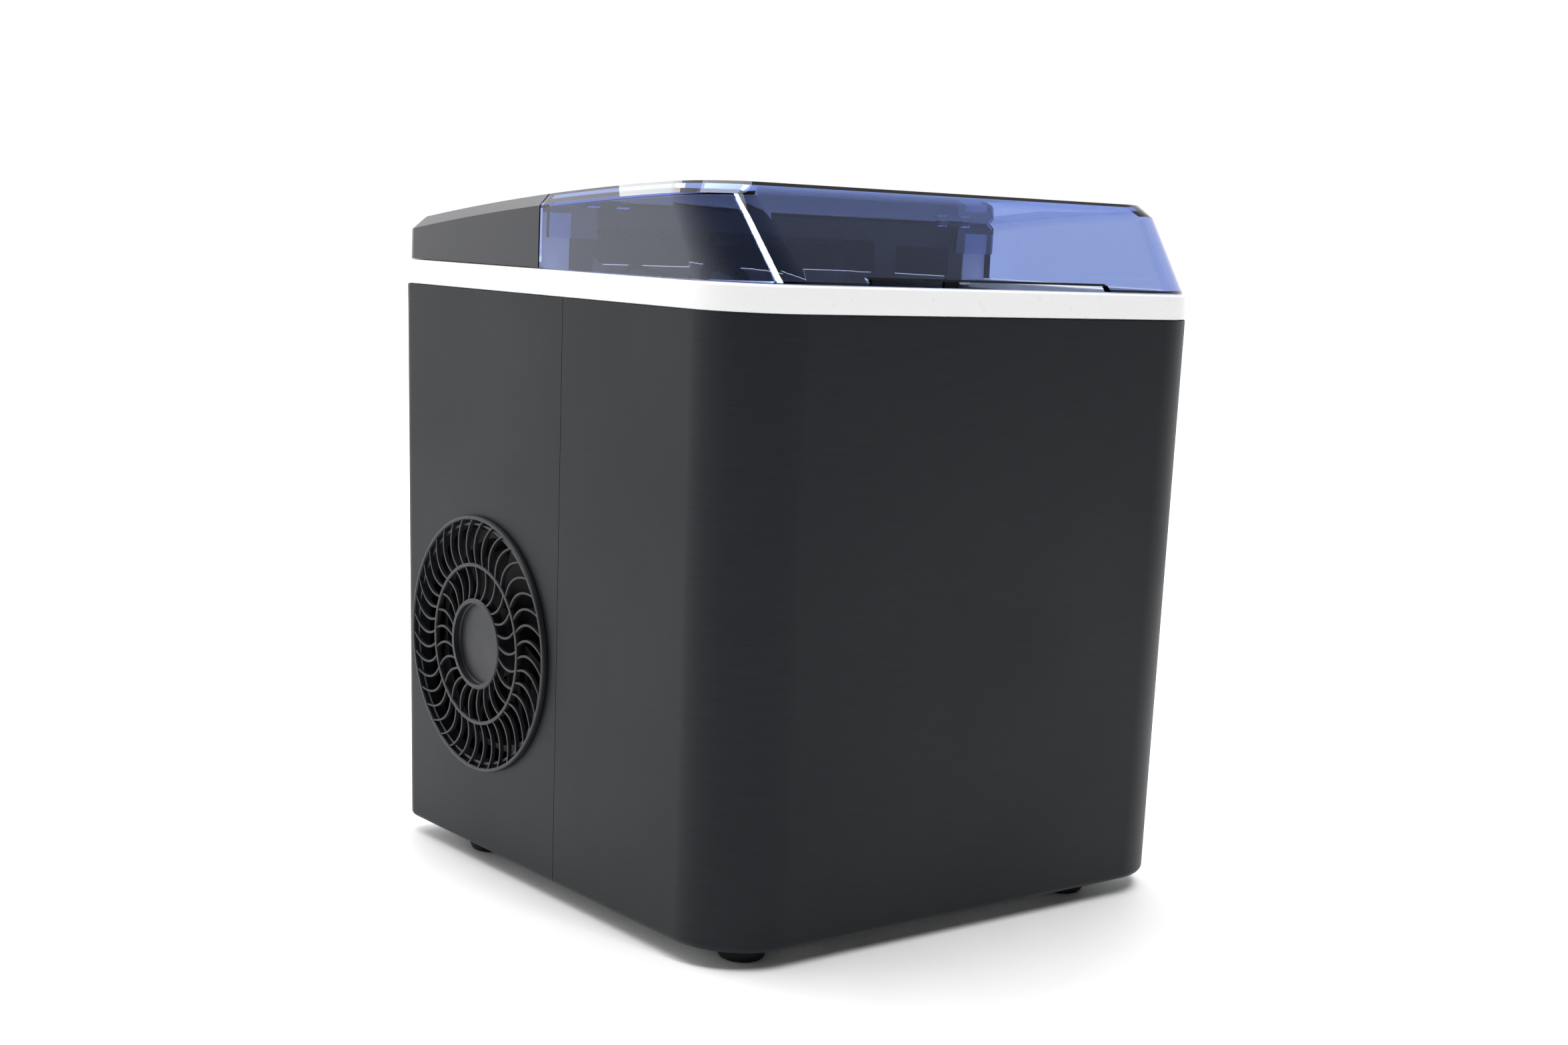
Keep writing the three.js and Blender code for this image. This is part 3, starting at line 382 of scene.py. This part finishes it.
# ---------------------------------------------------------------- outlines
def outline(half, front, rear, front_radius, rear_radius, corner_steps=20, side_steps=1):
    """Closed outline, anticlockwise seen from above, from the middle of the rear."""
    def arc(cx, cy, radius, start, steps):
        return [
            (cx + radius * math.cos(start + math.pi / 2 * i / steps),
             cy + radius * math.sin(start + math.pi / 2 * i / steps))
            for i in range(steps + 1)
        ]
    left = arc(-half + rear_radius, rear - rear_radius, rear_radius, math.pi / 2, 8)
    sides = []
    top, low = rear - rear_radius, front + front_radius
    for i in range(1, side_steps):
        sides.append((-half, top + (low - top) * i / side_steps))
    left += sides
    left += arc(-half + front_radius, front + front_radius, front_radius, math.pi, corner_steps)
    return left + [(-x, y) for x, y in reversed(left)]


def cabinet_outline(z, inset):
    lean = 1 - (z - FOOT_HEIGHT) / SHELL_HEIGHT
    return outline(
        WIDTH / 2 - SIDE_DRAFT * lean - inset,
        -DEPTH / 2 + FRONT_DRAFT * lean + inset,
        DEPTH / 2 - REAR_DRAFT * lean - inset,
        max(CORNER - inset, 2),
        max(REAR_CORNER - inset, 1),
    )


def part_of(points, seam, front):
    """The open run of a closed outline in front of, or behind, a plane across the cabinet."""
    count = len(points)
    run = []
    start = next(i for i in range(count)
                 if (points[i][1] < seam) == front and (points[i - 1][1] < seam) != front)
    for k in range(count + 1):
        here, before = points[(start + k) % count], points[(start + k - 1) % count]
        inside = (here[1] < seam) == front
        if k == 0 or not inside:
            t = (seam - before[1]) / (here[1] - before[1])
            run.append((before[0] + t * (here[0] - before[0]), seam))
            if not inside:
                break
        run.append(here)
    return run


def skin(name, outer, inner):
    """A closed wall between outer and inner grids of points; each grid is a list of open rows."""
    rows, width = len(outer), len(outer[0])
    points = [p for row in outer for p in row] + [p for row in inner for p in row]
    offset = rows * width
    faces = []
    for r in range(rows - 1):
        for c in range(width - 1):
            a, d = r * width + c, (r + 1) * width + c
            b, e = a + 1, d + 1
            faces.append((a, b, e, d))
            faces.append((offset + a, offset + d, offset + e, offset + b))
    def close(i, j):
        faces.append((i, offset + i, offset + j, j))
    for c in range(width - 1):
        close(c, c + 1)
        close((rows - 1) * width + c + 1, (rows - 1) * width + c)
    for r in range(rows - 1):
        close((r + 1) * width, r * width)
        close(r * width + width - 1, (r + 1) * width + width - 1)
    return link(name, mesh_of(name, points, faces))


def ring_sweep(name, rings):
    """A closed loop of closed rings of points, joined round: a hollow frame."""
    count = len(rings[0])
    points = [p for ring in rings for p in ring]
    faces = []
    for k in range(len(rings)):
        n = (k + 1) % len(rings)
        for i in range(count):
            j = (i + 1) % count
            faces.append((k * count + i, k * count + j, n * count + j, n * count + i))
    return link(name, mesh_of(name, points, faces))


# ---------------------------------------------------------------- cabinet shells
def shell(name, front):
    seam = SHELL_SEAM_Y + (-GAP / 2 if front else GAP / 2)
    base = FOOT_HEIGHT
    turn_in, turn_steps = 2.4, 6
    outer, inner = [], []
    levels = []
    for i in range(turn_steps + 1):
        angle = math.pi / 2 * i / turn_steps
        levels.append((base + turn_in * (1 - math.cos(angle)) * 0.999, turn_in * (1 - math.sin(angle))))
    levels += [(60, 0), (120, 0), (180, 0)]
    levels += [(SHELL_TOP - 0.5, 0), (SHELL_TOP - 0.12, 0.12), (SHELL_TOP, 0.5)]
    for z, inset in levels:
        row = part_of(cabinet_outline(z, inset), seam, front)
        wall = part_of(cabinet_outline(z, WALL + (0.9 if z < base + 2 else 0)), seam, front)
        outer.append([(x, y, z) for x, y in row])
        inner.append([(x, y, z) for x, y in wall])
    return skin(name, outer, inner)


DRAIN_PLACE, DRAIN_HOLE = (124, -60, 38), 6.2
front_shell = shell("front_shell_visual", True)
drain_hole = lathe([(0, -10), (DRAIN_HOLE, -10), (DRAIN_HOLE, 10), (0, 10)], 48)
drain_hole.data.transform(Matrix.Translation(Vector(DRAIN_PLACE) * MM)
                          @ Matrix.Rotation(math.pi / 2, 4, "Y"))
boolean(front_shell, drain_hole)
done(smooth(front_shell), GRAPHITE, "cabinet", ["front_shell"])

rear_shell = shell("rear_shell_visual", False)
cutter = lathe([(0, -20), (GRILLE_RADIUS - 2.6, -20), (GRILLE_RADIUS - 2.6, 20), (0, 20)], 128)
cutter.data.transform(Matrix.Translation((-WIDTH / 2 * MM, GRILLE_Y * MM, GRILLE_Z * MM))
                      @ Matrix.Rotation(math.pi / 2, 4, "Y"))
boolean(rear_shell, cutter)

REAR_WALL_Y = DEPTH / 2 - REAR_DRAFT
INLET = {"x": 84, "z": 46, "half": 15, "high": 11}
LOUVRE = {"count": 9, "half": 70, "z": 92, "pitch": 9, "high": 3.4}
VENT = {"count": 12, "y": 20, "pitch": 7, "wide": 3, "z": (48, 128)}
louvres = [(-LOUVRE["half"], LOUVRE["half"], REAR_WALL_Y - 8, DEPTH,
            LOUVRE["z"] + i * LOUVRE["pitch"], LOUVRE["z"] + LOUVRE["high"] + i * LOUVRE["pitch"])
           for i in range(LOUVRE["count"])]
vents = [(WIDTH / 2 - 12, WIDTH, VENT["y"] + i * VENT["pitch"],
          VENT["y"] + VENT["wide"] + i * VENT["pitch"], *VENT["z"]) for i in range(VENT["count"])]
inlet_hole = [(INLET["x"] - INLET["half"], INLET["x"] + INLET["half"], REAR_WALL_Y - 12, DEPTH,
               INLET["z"] - INLET["high"], INLET["z"] + INLET["high"])]
boolean(rear_shell, boxes("slots", louvres + vents + inlet_hole))
done(smooth(rear_shell), GRAPHITE, "cabinet", ["rear_shell"])


# ---------------------------------------------------------------- white band
def band_ring(inset, z):
    return [(x, y, z) for x, y in cabinet_outline(SHELL_TOP, inset)]


fillet = [(1 - math.sin(a), math.cos(a)) for a in (math.radians(v) for v in (90, 68, 45, 22, 0))]
band_profile = [(2.1, SHELL_TOP - 5), (2.1, SHELL_TOP + GAP), (0.35, SHELL_TOP + GAP),
                (0.1, SHELL_TOP + GAP + 0.1), (0, SHELL_TOP + GAP + 0.4)]
band_profile += [(1.4 * i, BAND_TOP - 1.4 + 1.4 * h) for i, h in fillet]
band_profile += [(11.6, BAND_TOP), (11.9, BAND_TOP - 0.1), (12, BAND_TOP - 0.5), (12, BAND_TOP - 3),
                 (4.4, BAND_TOP - 3), (4.4, SHELL_TOP - 5)]
band = ring_sweep("top_band_visual", [band_ring(i, z) for i, z in band_profile])
for side in (-1, 1):
    a, b = sorted((side * 107.6, side * (UPPER_HALF - COVER_WALL - 1)))
    post = block(a, b, SEAM_Y + 2.2, 24, BAND_TOP - 2, BAND_TOP + crown(24) - 1.5)
    bevel(post, 0.5)
    boolean(band, post, "UNION")
done(smooth(band, 40), WHITE, "cabinet", ["top_band"])


# ---------------------------------------------------------------- lid and rear cover
SIDE_STEPS = 12              # points along each straight side, which follow the crown
FINGER_SLOT = (-66, 62)


def arched(wall):
    """Rows from the base to the top edge of the arched upper body, then its chamfer."""
    half = UPPER_HALF - wall
    rear_radius = REAR_CORNER - wall
    raked = UPPER_FRONT + LID_RAKE + wall
    drop = wall * 0.45
    base = outline(half, UPPER_FRONT + wall, UPPER_REAR - wall, CORNER - wall, rear_radius,
                   side_steps=SIDE_STEPS)
    edge = outline(half, raked, UPPER_REAR - wall, LID_TOP_CORNER - wall, rear_radius,
                   side_steps=SIDE_STEPS)
    top = outline(half - CHAMFER_IN, raked + CHAMFER_IN, UPPER_REAR - wall - CHAMFER_IN,
                  LID_TOP_CORNER - wall, rear_radius, side_steps=SIDE_STEPS)
    bottom_z = UPPER_BASE if wall == 0 else BAND_TOP - 1
    return [
        [(x, y, bottom_z) for x, y in base],
        [(x, y, BAND_TOP + crown(y) - drop) for x, y in edge],
        [(x, y, BAND_TOP + crown(y) + CHAMFER_UP - wall) for x, y in top],
    ]


def arched_body(name, wall, rounding):
    """The arched body, closed top and bottom, its two upper edges rounded."""
    rows = arched(wall)
    count = len(rows[0])
    points = [p for row in rows for p in row]
    faces = []
    for r in range(len(rows) - 1):
        for i in range(count):
            j = (i + 1) % count
            faces.append((r * count + i, r * count + j, (r + 1) * count + j, (r + 1) * count + i))
    last = (len(rows) - 1) * count
    half = count // 2
    for i in range(half - 1):
        a, b, c, d = i, i + 1, count - 2 - i, count - 1 - i
        faces.append((a, d, c, b))
        faces.append((last + a, last + b, last + c, last + d))
    body = link(name, mesh_of(name, points, faces))
    if rounding:
        merged = bmesh.new()
        merged.from_mesh(body.data)
        edges = [e for e in merged.edges if len(e.link_faces) == 2
                 and e.calc_face_angle(0) > math.radians(18)
                 and min(v.co.z for v in e.verts) > (UPPER_BASE + 2) * MM
                 and abs(e.verts[0].co.z - e.verts[1].co.z) < 8 * MM]
        bmesh.ops.bevel(merged, geom=edges, offset=rounding * MM, segments=3, profile=0.5,
                        affect="EDGES", clamp_overlap=True)
        merged.to_mesh(body.data)
        merged.free()
    return body


def half_space(name, y0, y1):
    return block(-WIDTH, WIDTH, y0, y1, 0, 400, name)


def bar(x0, x1, radius, sides=48):
    """A round bar along x on the hinge axis."""
    piece = lathe([(0, x0), (radius, x0), (radius, x1), (0, x1)], sides)
    piece.data.transform(Matrix.Translation((0, HINGE_Y * MM, HINGE_Z * MM))
                         @ Matrix.Rotation(math.pi / 2, 4, "Y"))
    return piece


lid = arched_body("lid_visual", 0, 0.7)
boolean(lid, arched_body("hollow", COVER_WALL, 0.5))
cover = link("rear_cover_visual", lid.data.copy())
boolean(lid, half_space("front_half", -DEPTH, LID_REAR), "INTERSECT")
boolean(lid, block(-WIDTH, WIDTH, -DEPTH, DEPTH, 0, BAND_TOP + LID_GAP))
boolean(lid, block(*FINGER_SLOT, -DEPTH, -100, BAND_TOP - 1, UPPER_BASE + 2.4))
for side in (-1, 1):
    a, b = sorted((side * KNUCKLE_X[1], side * EAR_REACH))
    ear = block(a, b, SEAM_Y - 3.2, SEAM_Y - 1.2, BAND_TOP + CROWN["seam"] / 2, 400)
    boolean(ear, arched_body("limit", COVER_WALL - 0.2, 0), "INTERSECT")
    boolean(lid, ear, "UNION")
    a, b = sorted((side * PIN_X[0], side * PIN_X[1]))
    boolean(lid, bar(a, b, BOSS_RADIUS), "UNION")
    m, n = sorted((side * (KNUCKLE_X[0] - 0.4), side * (KNUCKLE_X[1] + 0.4)))
    boolean(lid, block(m, n, HINGE_Y - KNUCKLE_RADIUS - 0.5, SEAM_Y, HINGE_Z - 8, 400))
    boolean(lid, bar(a + 1, b - 1, PIN_RADIUS, 32), "UNION")
done(smooth(lid, 24), SMOKE, "lid", ["lid"])

boolean(cover, half_space("rear_half", SEAM_Y + SEAM_GAP, DEPTH), "INTERSECT")
for side in (-1, 1):
    a, b = sorted((side * KNUCKLE_X[0], side * KNUCKLE_X[1]))
    boolean(cover, bar(a, b, KNUCKLE_RADIUS), "UNION")
    root = block(a, b, HINGE_Y, SEAM_Y + SEAM_GAP + 1, HINGE_Z - KNUCKLE_RADIUS, HINGE_Z + 1.9)
    boolean(cover, root, "UNION")
boolean(cover, bar(-WIDTH, WIDTH, KNUCKLE_BORE))


# ---------------------------------------------------------------- control panel
PANEL_Y = 72
PANEL_SLOPE = math.atan((crown(PANEL_Y + 20) - crown(PANEL_Y - 20)) / 40)
PANEL = Matrix.Translation((0, PANEL_Y * MM, (BAND_TOP + crown(PANEL_Y) + CHAMFER_UP - 0.35) * MM)) \
    @ Matrix.Rotation(PANEL_SLOPE, 4, "X")
PANEL_HALF_X, PANEL_HALF_Y, PANEL_THICK = 62, 25, 1.6
BUTTON_X = {"power": -38, "ice_size": 0, "clean": 38}
BUTTON_RADIUS, BUTTON_Y = 7, -9
DISPLAY_X, DISPLAY_HALF_Y, DISPLAY_Y = 22, 7, 10


def in_panel(piece):
    piece.data.transform(PANEL)
    return piece


def disc(x, y, radius, z0, z1, sides=64):
    piece = lathe([(0, z0), (radius, z0), (radius, z1), (0, z1)], sides)
    piece.data.transform(Matrix.Translation((x * MM, y * MM, 0)))
    return piece


def panel_holes(piece, radius, margin):
    for x in BUTTON_X.values():
        boolean(piece, in_panel(disc(x, BUTTON_Y, radius, -12, 8)))
    half_x, half_y = DISPLAY_X + margin, DISPLAY_HALF_Y + margin
    boolean(piece, in_panel(block(-half_x, half_x, DISPLAY_Y - half_y, DISPLAY_Y + half_y, -12, 8)))
    return piece


boolean(cover, in_panel(block(-PANEL_HALF_X - GAP, PANEL_HALF_X + GAP, -PANEL_HALF_Y - GAP,
                              PANEL_HALF_Y + GAP, -PANEL_THICK - GAP, 6)))
panel_holes(cover, BUTTON_RADIUS + 0.5, 1)
done(smooth(cover, 24), COVER, "cabinet", ["rear_cover"])

panel = in_panel(block(-PANEL_HALF_X, PANEL_HALF_X, -PANEL_HALF_Y, PANEL_HALF_Y, -PANEL_THICK, 0,
                       "control_panel_visual"))
panel_holes(panel, BUTTON_RADIUS + 0.4, 0)
bevel(panel, 0.2)
done(smooth(panel), GLOSS_BLACK, "cabinet", ["control_panel"])
refined("display_window", GLOSS_BLACK, 0.15)
for label, x in BUTTON_X.items():
    cap = lathe([(0, -5.4), (5.4, -5.4), (5.4, -4.2), (6.85, -4.2), (7, -4.05), (7, 0.2), (6.9, 0.45),
                 (6.6, 0.7), (6.2, 0.85), (5.4, 0.82), (3.5, 0.6), (1.6, 0.5), (0, 0.48)], 64,
                f"button_{label}_visual")
    cap.data.transform(Matrix.Translation((x * MM, BUTTON_Y * MM, 0)))
    in_panel(cap)
    body = {"power": "power_button", "ice_size": "size_button", "clean": "clean_button"}[label]
    done(smooth(cap), BUTTON, body, [f"button_{label}"])

LED_OFF = moulded("indicator_lens", (0.20, 0.34, 0.36), (0.27, 0.42, 0.44), 0.18)
LED_X, LED_RADIUS, LED_TOP = (-12, 0, 12), 1.1, 0.18
for i, x in enumerate(LED_X):
    lens = in_panel(disc(x, DISPLAY_Y, LED_RADIUS, -1.2, LED_TOP, 32))
    lens.name = f"indicator_{i}"
    bevel(lens, 0.08)
    done(smooth(lens), LED_OFF, "cabinet")
RING_OUTER, RING_INNER = BUTTON_RADIUS + 1.7, BUTTON_RADIUS + 1.3
for label, x in BUTTON_X.items():
    ring = lathe([(RING_INNER, -0.4), (RING_OUTER, -0.4), (RING_OUTER, 0.06), (RING_INNER, 0.06)], 96,
                 f"ring_{label}", closed=True)
    ring.data.transform(Matrix.Translation((x * MM, BUTTON_Y * MM, 0)))
    done(smooth(in_panel(ring)), BUTTON, "cabinet")


# ---------------------------------------------------------------- side grille
def rib_openings(count, r0, r1, bow, skew, rib_half, steps=12):
    """Outlines of the gaps between bowed ribs."""
    gaps = []
    def bend(start, t, side):
        radius = r0 + (r1 - r0) * t
        angle = start + skew * t + (bow * 4 * t * (1 - t) + side * rib_half) / radius
        return (radius * math.cos(angle), radius * math.sin(angle))
    for i in range(count):
        start, after = 2 * math.pi * i / count, 2 * math.pi * (i + 1) / count
        gap = [bend(start, k / steps, 1) for k in range(steps + 1)]
        gap += [bend(after, k / steps, -1) for k in range(steps, -1, -1)]
        gaps.append(gap)
    return gaps


def cut_disc(name, radius, gaps, z0, z1, edge):
    """A flat disc with openings, its edges rounded, through a filled 2-D curve."""
    curve = bpy.data.curves.new(name, "CURVE")
    curve.dimensions, curve.fill_mode = "2D", "BOTH"
    curve.extrude = ((z1 - z0) / 2 - edge) * MM
    curve.bevel_depth, curve.bevel_resolution = edge * MM, 2
    curve.offset = -edge * MM
    turns = [2 * math.pi * i / 128 for i in range(128)]
    circle = [(radius * math.cos(turn), radius * math.sin(turn)) for turn in turns]
    for loop in [circle] + gaps:
        spline = curve.splines.new("POLY")
        spline.points.add(len(loop) - 1)
        for point, (x, y) in zip(spline.points, loop):
            point.co = (x * MM, y * MM, 0, 1)
        spline.use_cyclic_u = True
    holder = bpy.data.objects.new(name, curve)
    bpy.context.scene.collection.objects.link(holder)
    graph = bpy.context.evaluated_depsgraph_get()
    mesh = bpy.data.meshes.new_from_object(holder.evaluated_get(graph))
    bpy.data.objects.remove(holder)
    merged = bmesh.new()
    merged.from_mesh(mesh)
    bmesh.ops.remove_doubles(merged, verts=merged.verts, dist=MERGE_DISTANCE)
    bmesh.ops.recalc_face_normals(merged, faces=merged.faces)
    merged.to_mesh(mesh)
    merged.free()
    mesh.transform(Matrix.Translation((0, 0, (z0 + z1) / 2 * MM)))
    return link(name, mesh)


def rounded_ring(name, r0, r1, z0, z1, edge, sides=128):
    profile = [(r0, z0), (r0, z1 - edge), (r0 + edge * 0.3, z1 - edge * 0.3), (r0 + edge, z1),
               (r1 - edge, z1), (r1 - edge * 0.3, z1 - edge * 0.3), (r1, z1 - edge), (r1, z0)]
    return lathe(profile, sides, name, closed=True)


gaps = rib_openings(OUTER_RIBS, MID_RING + 0.7, GRILLE_RADIUS - 1.6, -3.4, 0.087, 0.52)
gaps += rib_openings(INNER_RIBS, HUB_RING - 0.4, MID_RING - 0.7, 2.4, 0.047, 0.52)
# z is the outward direction here, measured from the front face of the rim
PROUD = GRILLE_PROUD - GAP
grille = cut_disc("side_grille_visual", GRILLE_RADIUS - 0.7, gaps, -PROUD, -0.3, 0.22)
hub = lathe([(0, -5), (HUB_RING, -5), (HUB_RING, -0.5), (HUB_RING - 0.35, -0.08), (HUB_RING - 0.7, 0),
             (HUB_RING - 1.2, 0), (0, 0)], 96)
boolean(grille, hub, "UNION")
boolean(grille, rounded_ring("mid", MID_RING - 0.8, MID_RING + 0.8, -PROUD, 0, 0.35), "UNION")
sleeve = rounded_ring("sleeve", GRILLE_RADIUS - 4.2, GRILLE_RADIUS - 3, -7, -PROUD + 0.5, 0.2)
boolean(grille, sleeve, "UNION")
rim = lathe([(GRILLE_RADIUS - 1.6, -PROUD), (GRILLE_RADIUS - 1.6, -0.45), (GRILLE_RADIUS - 1.45, -0.12),
             (GRILLE_RADIUS - 1.2, 0), (GRILLE_RADIUS - 0.7, 0), (GRILLE_RADIUS - 0.25, -0.2),
             (GRILLE_RADIUS - 0.05, -0.6), (GRILLE_RADIUS, -1.1), (GRILLE_RADIUS, -PROUD)], 160, "rim",
            closed=True)
boolean(grille, rim, "UNION")
dish = lathe([(0, -3), (HUB_RING - 2.5, -3), (HUB_RING - 2.1, -2.6), (HUB_RING - 2.1, -0.4),
              (HUB_RING - 1.8, 3), (0, 3)], 96)
boolean(grille, dish)
# local x -> cabinet +y, local y -> cabinet +z seen from outside, local z -> cabinet -x
to_side = Matrix(((0, 0, -1, 0), (1, 0, 0, 0), (0, 1, 0, 0), (0, 0, 0, 1)))
grille.data.transform(Matrix.Translation((-GRILLE_X * MM, GRILLE_Y * MM, GRILLE_Z * MM))
                      @ Matrix.Rotation(-WALL_TILT, 4, "Y") @ to_side)
done(smooth(grille, 30), DARK_GREY, "cabinet", ["side_grille"])


# ---------------------------------------------------------------- feet, fan and the rest
for name, x, y in (("foot_front_left", -97, -104), ("foot_front_right", 76, -104),
                   ("foot_rear_left", -105, 70), ("foot_rear_right", 90, 70)):
    foot = lathe([(0, 0), (3, 0), (3.4, 0.5), (5.6, 0.5), (6, 0), (7.6, 0), (8.3, 0.3), (8.9, 1),
                  (9.4, 2.2), (9.8, 4), (10.1, 6.6), (10.2, 7.6), (0, 7.6)], 64, f"{name}_visual")
    foot.data.transform(Matrix.Translation((x * MM, y * MM, 0)))
    done(smooth(foot), RUBBER, "cabinet", [name])

PLAIN = [
    ("plastic_black", BLACK, 0.4, ["fan_frame", "ice_chute_frame", "tray_motor", "water_pump",
                                   "drain_socket", "ice_full_sensor", "power_inlet"]),
    ("plastic_grey", GREY, 0.3, ["fan_motor", "tray_bearing"]),
    ("board_green", BOARD, 0, ["display_board", "main_board"]),
    ("liner_grey", LINER, 0.8, ["inner_liner"]),
    ("metal_steel", STEEL, 0.3, ["evaporator", "hot_gas_valve", "base_plate", "board_bracket",
                                 "water_level_probe", "base_screw_front_left",
                                 "base_screw_front_right", "base_screw_rear_left",
                                 "base_screw_rear_right"]),
    ("compressor_black", ENAMEL, 0, ["compressor"]),
    ("metal_copper", COPPER, 0, ["condenser_coil", "filter_drier", "discharge_pipe", "liquid_pipe",
                                 "capillary_tube", "suction_pipe"]),
    ("metal_aluminium", ALUMINIUM, 0, ["condenser_fins"]),
    ("rubber_black", RUBBER, 0, ["compressor_mount_a", "compressor_mount_b", "compressor_mount_c",
                                 "compressor_mount_d"]),
    ("silicone_hose", SILICONE, 0, ["suction_hose", "tray_hose", "drain_hose"]),
]
for slot, material, width, names in PLAIN:
    for node in names:
        refined(node, material, width)
refined("fan_rotor", BLACK, 0.3, body="fan")
refined("ice_basket", BASKET, 0.5, body="basket")
refined("water_tray", LINER, 0.4, body="tray")
refined("ice_shovel", BLACK, 0.3, body="tray")
refined("drain_plug", RUBBER, 0.5, body="drain_plug")


# ---------------------------------------------------------------- floor, world and lights
def stage_material():
    paint = Paint("floor").set(Specular_IOR_Level=0.25)
    paint.colour(paint.noise(3, detail=2), (0.90, 0.90, 0.90), (0.92, 0.92, 0.92))
    paint.roughness(paint.noise(40), 0.5, 0.6)
    return paint.material


FLOOR_REACH = 6000
floor_corners = [(-FLOOR_REACH, -FLOOR_REACH, 0), (FLOOR_REACH, -FLOOR_REACH, 0),
                 (FLOOR_REACH, FLOOR_REACH, 0), (-FLOOR_REACH, FLOOR_REACH, 0)]
floor = link("floor", mesh_of("floor", floor_corners, [(0, 1, 2, 3)]))
floor.data.materials.append(stage_material())

# The room is lit from behind the machine; the background itself is seen as plain white.
BRIGHT_WAY = (0.1, 1, 0)
WORLD_RAMP = {"From Min": -0.5, "From Max": 0.85, "To Min": 0.03, "To Max": 1.8}
world = bpy.data.worlds.new("studio")
bpy.context.scene.world = world
world.use_nodes = True
tree = world.node_tree
tree.nodes.clear()
ray = tree.nodes.new("ShaderNodeLightPath")
seen = tree.nodes.new("ShaderNodeMath")
seen.operation = "MAXIMUM"
tree.links.new(ray.outputs["Is Camera Ray"], seen.inputs[0])
tree.links.new(ray.outputs["Is Transmission Ray"], seen.inputs[1])
direction = tree.nodes.new("ShaderNodeTexCoord")
across = tree.nodes.new("ShaderNodeVectorMath")
across.operation = "DOT_PRODUCT"
across.inputs[1].default_value = BRIGHT_WAY
tree.links.new(direction.outputs["Generated"], across.inputs[0])
spread = tree.nodes.new("ShaderNodeMapRange")
spread.interpolation_type = "SMOOTHSTEP"
for socket, value in WORLD_RAMP.items():
    spread.inputs[socket].default_value = value
tree.links.new(across.outputs["Value"], spread.inputs["Value"])
dim = tree.nodes.new("ShaderNodeBackground")
dim.inputs["Color"].default_value = (1, 1, 1, 1)
tree.links.new(spread.outputs["Result"], dim.inputs["Strength"])
bright = tree.nodes.new("ShaderNodeBackground")
bright.inputs["Color"].default_value = (1, 1, 1, 1)
bright.inputs["Strength"].default_value = 1.0
mix = tree.nodes.new("ShaderNodeMixShader")
tree.links.new(seen.outputs["Value"], mix.inputs["Fac"])
tree.links.new(dim.outputs["Background"], mix.inputs[1])
tree.links.new(bright.outputs["Background"], mix.inputs[2])
world_output = tree.nodes.new("ShaderNodeOutputWorld")
tree.links.new(mix.outputs["Shader"], world_output.inputs["Surface"])


def softbox(name, place, target, size, power):
    """A rectangular area light facing its target."""
    data = bpy.data.lights.new(name, "AREA")
    data.shape = "RECTANGLE"
    data.size, data.size_y = size
    data.energy = power
    lamp = bpy.data.objects.new(name, data)
    bpy.context.scene.collection.objects.link(lamp)
    lamp.location = place
    lamp.rotation_mode = "QUATERNION"
    lamp.rotation_quaternion = (Vector(target) - Vector(place)).to_track_quat("-Z", "Y")
    return lamp


def aim(azimuth, elevation, distance, target):
    """A place in that direction from the target; azimuth 0 is in front of the machine."""
    a, e = math.radians(azimuth), math.radians(elevation)
    way = Vector((math.sin(a) * math.cos(e), -math.cos(a) * math.cos(e), math.sin(e)))
    return Vector(target) + way * distance


LID_CORNER, LID_FRONT = (-0.1, -0.1, 0.27), (0, -0.1, 0.28)
SUN_STRENGTH, SUN_ANGLE = 2.0, 52
softbox("ceiling_strip", aim(4, 59, 2.0, LID_CORNER), LID_CORNER, (0.27, 0.8), 16)
softbox("ceiling_back", aim(-165, 38, 2.2, LID_FRONT), LID_FRONT, (1.2, 0.6), 9)
sun_data = bpy.data.lights.new("sky", "SUN")
sun_data.energy, sun_data.angle = SUN_STRENGTH, math.radians(SUN_ANGLE)
sun = bpy.data.objects.new("sky", sun_data)
bpy.context.scene.collection.objects.link(sun)

view_settings = bpy.context.scene.view_settings
view_settings.view_transform = "Standard"
view_settings.look = "None"
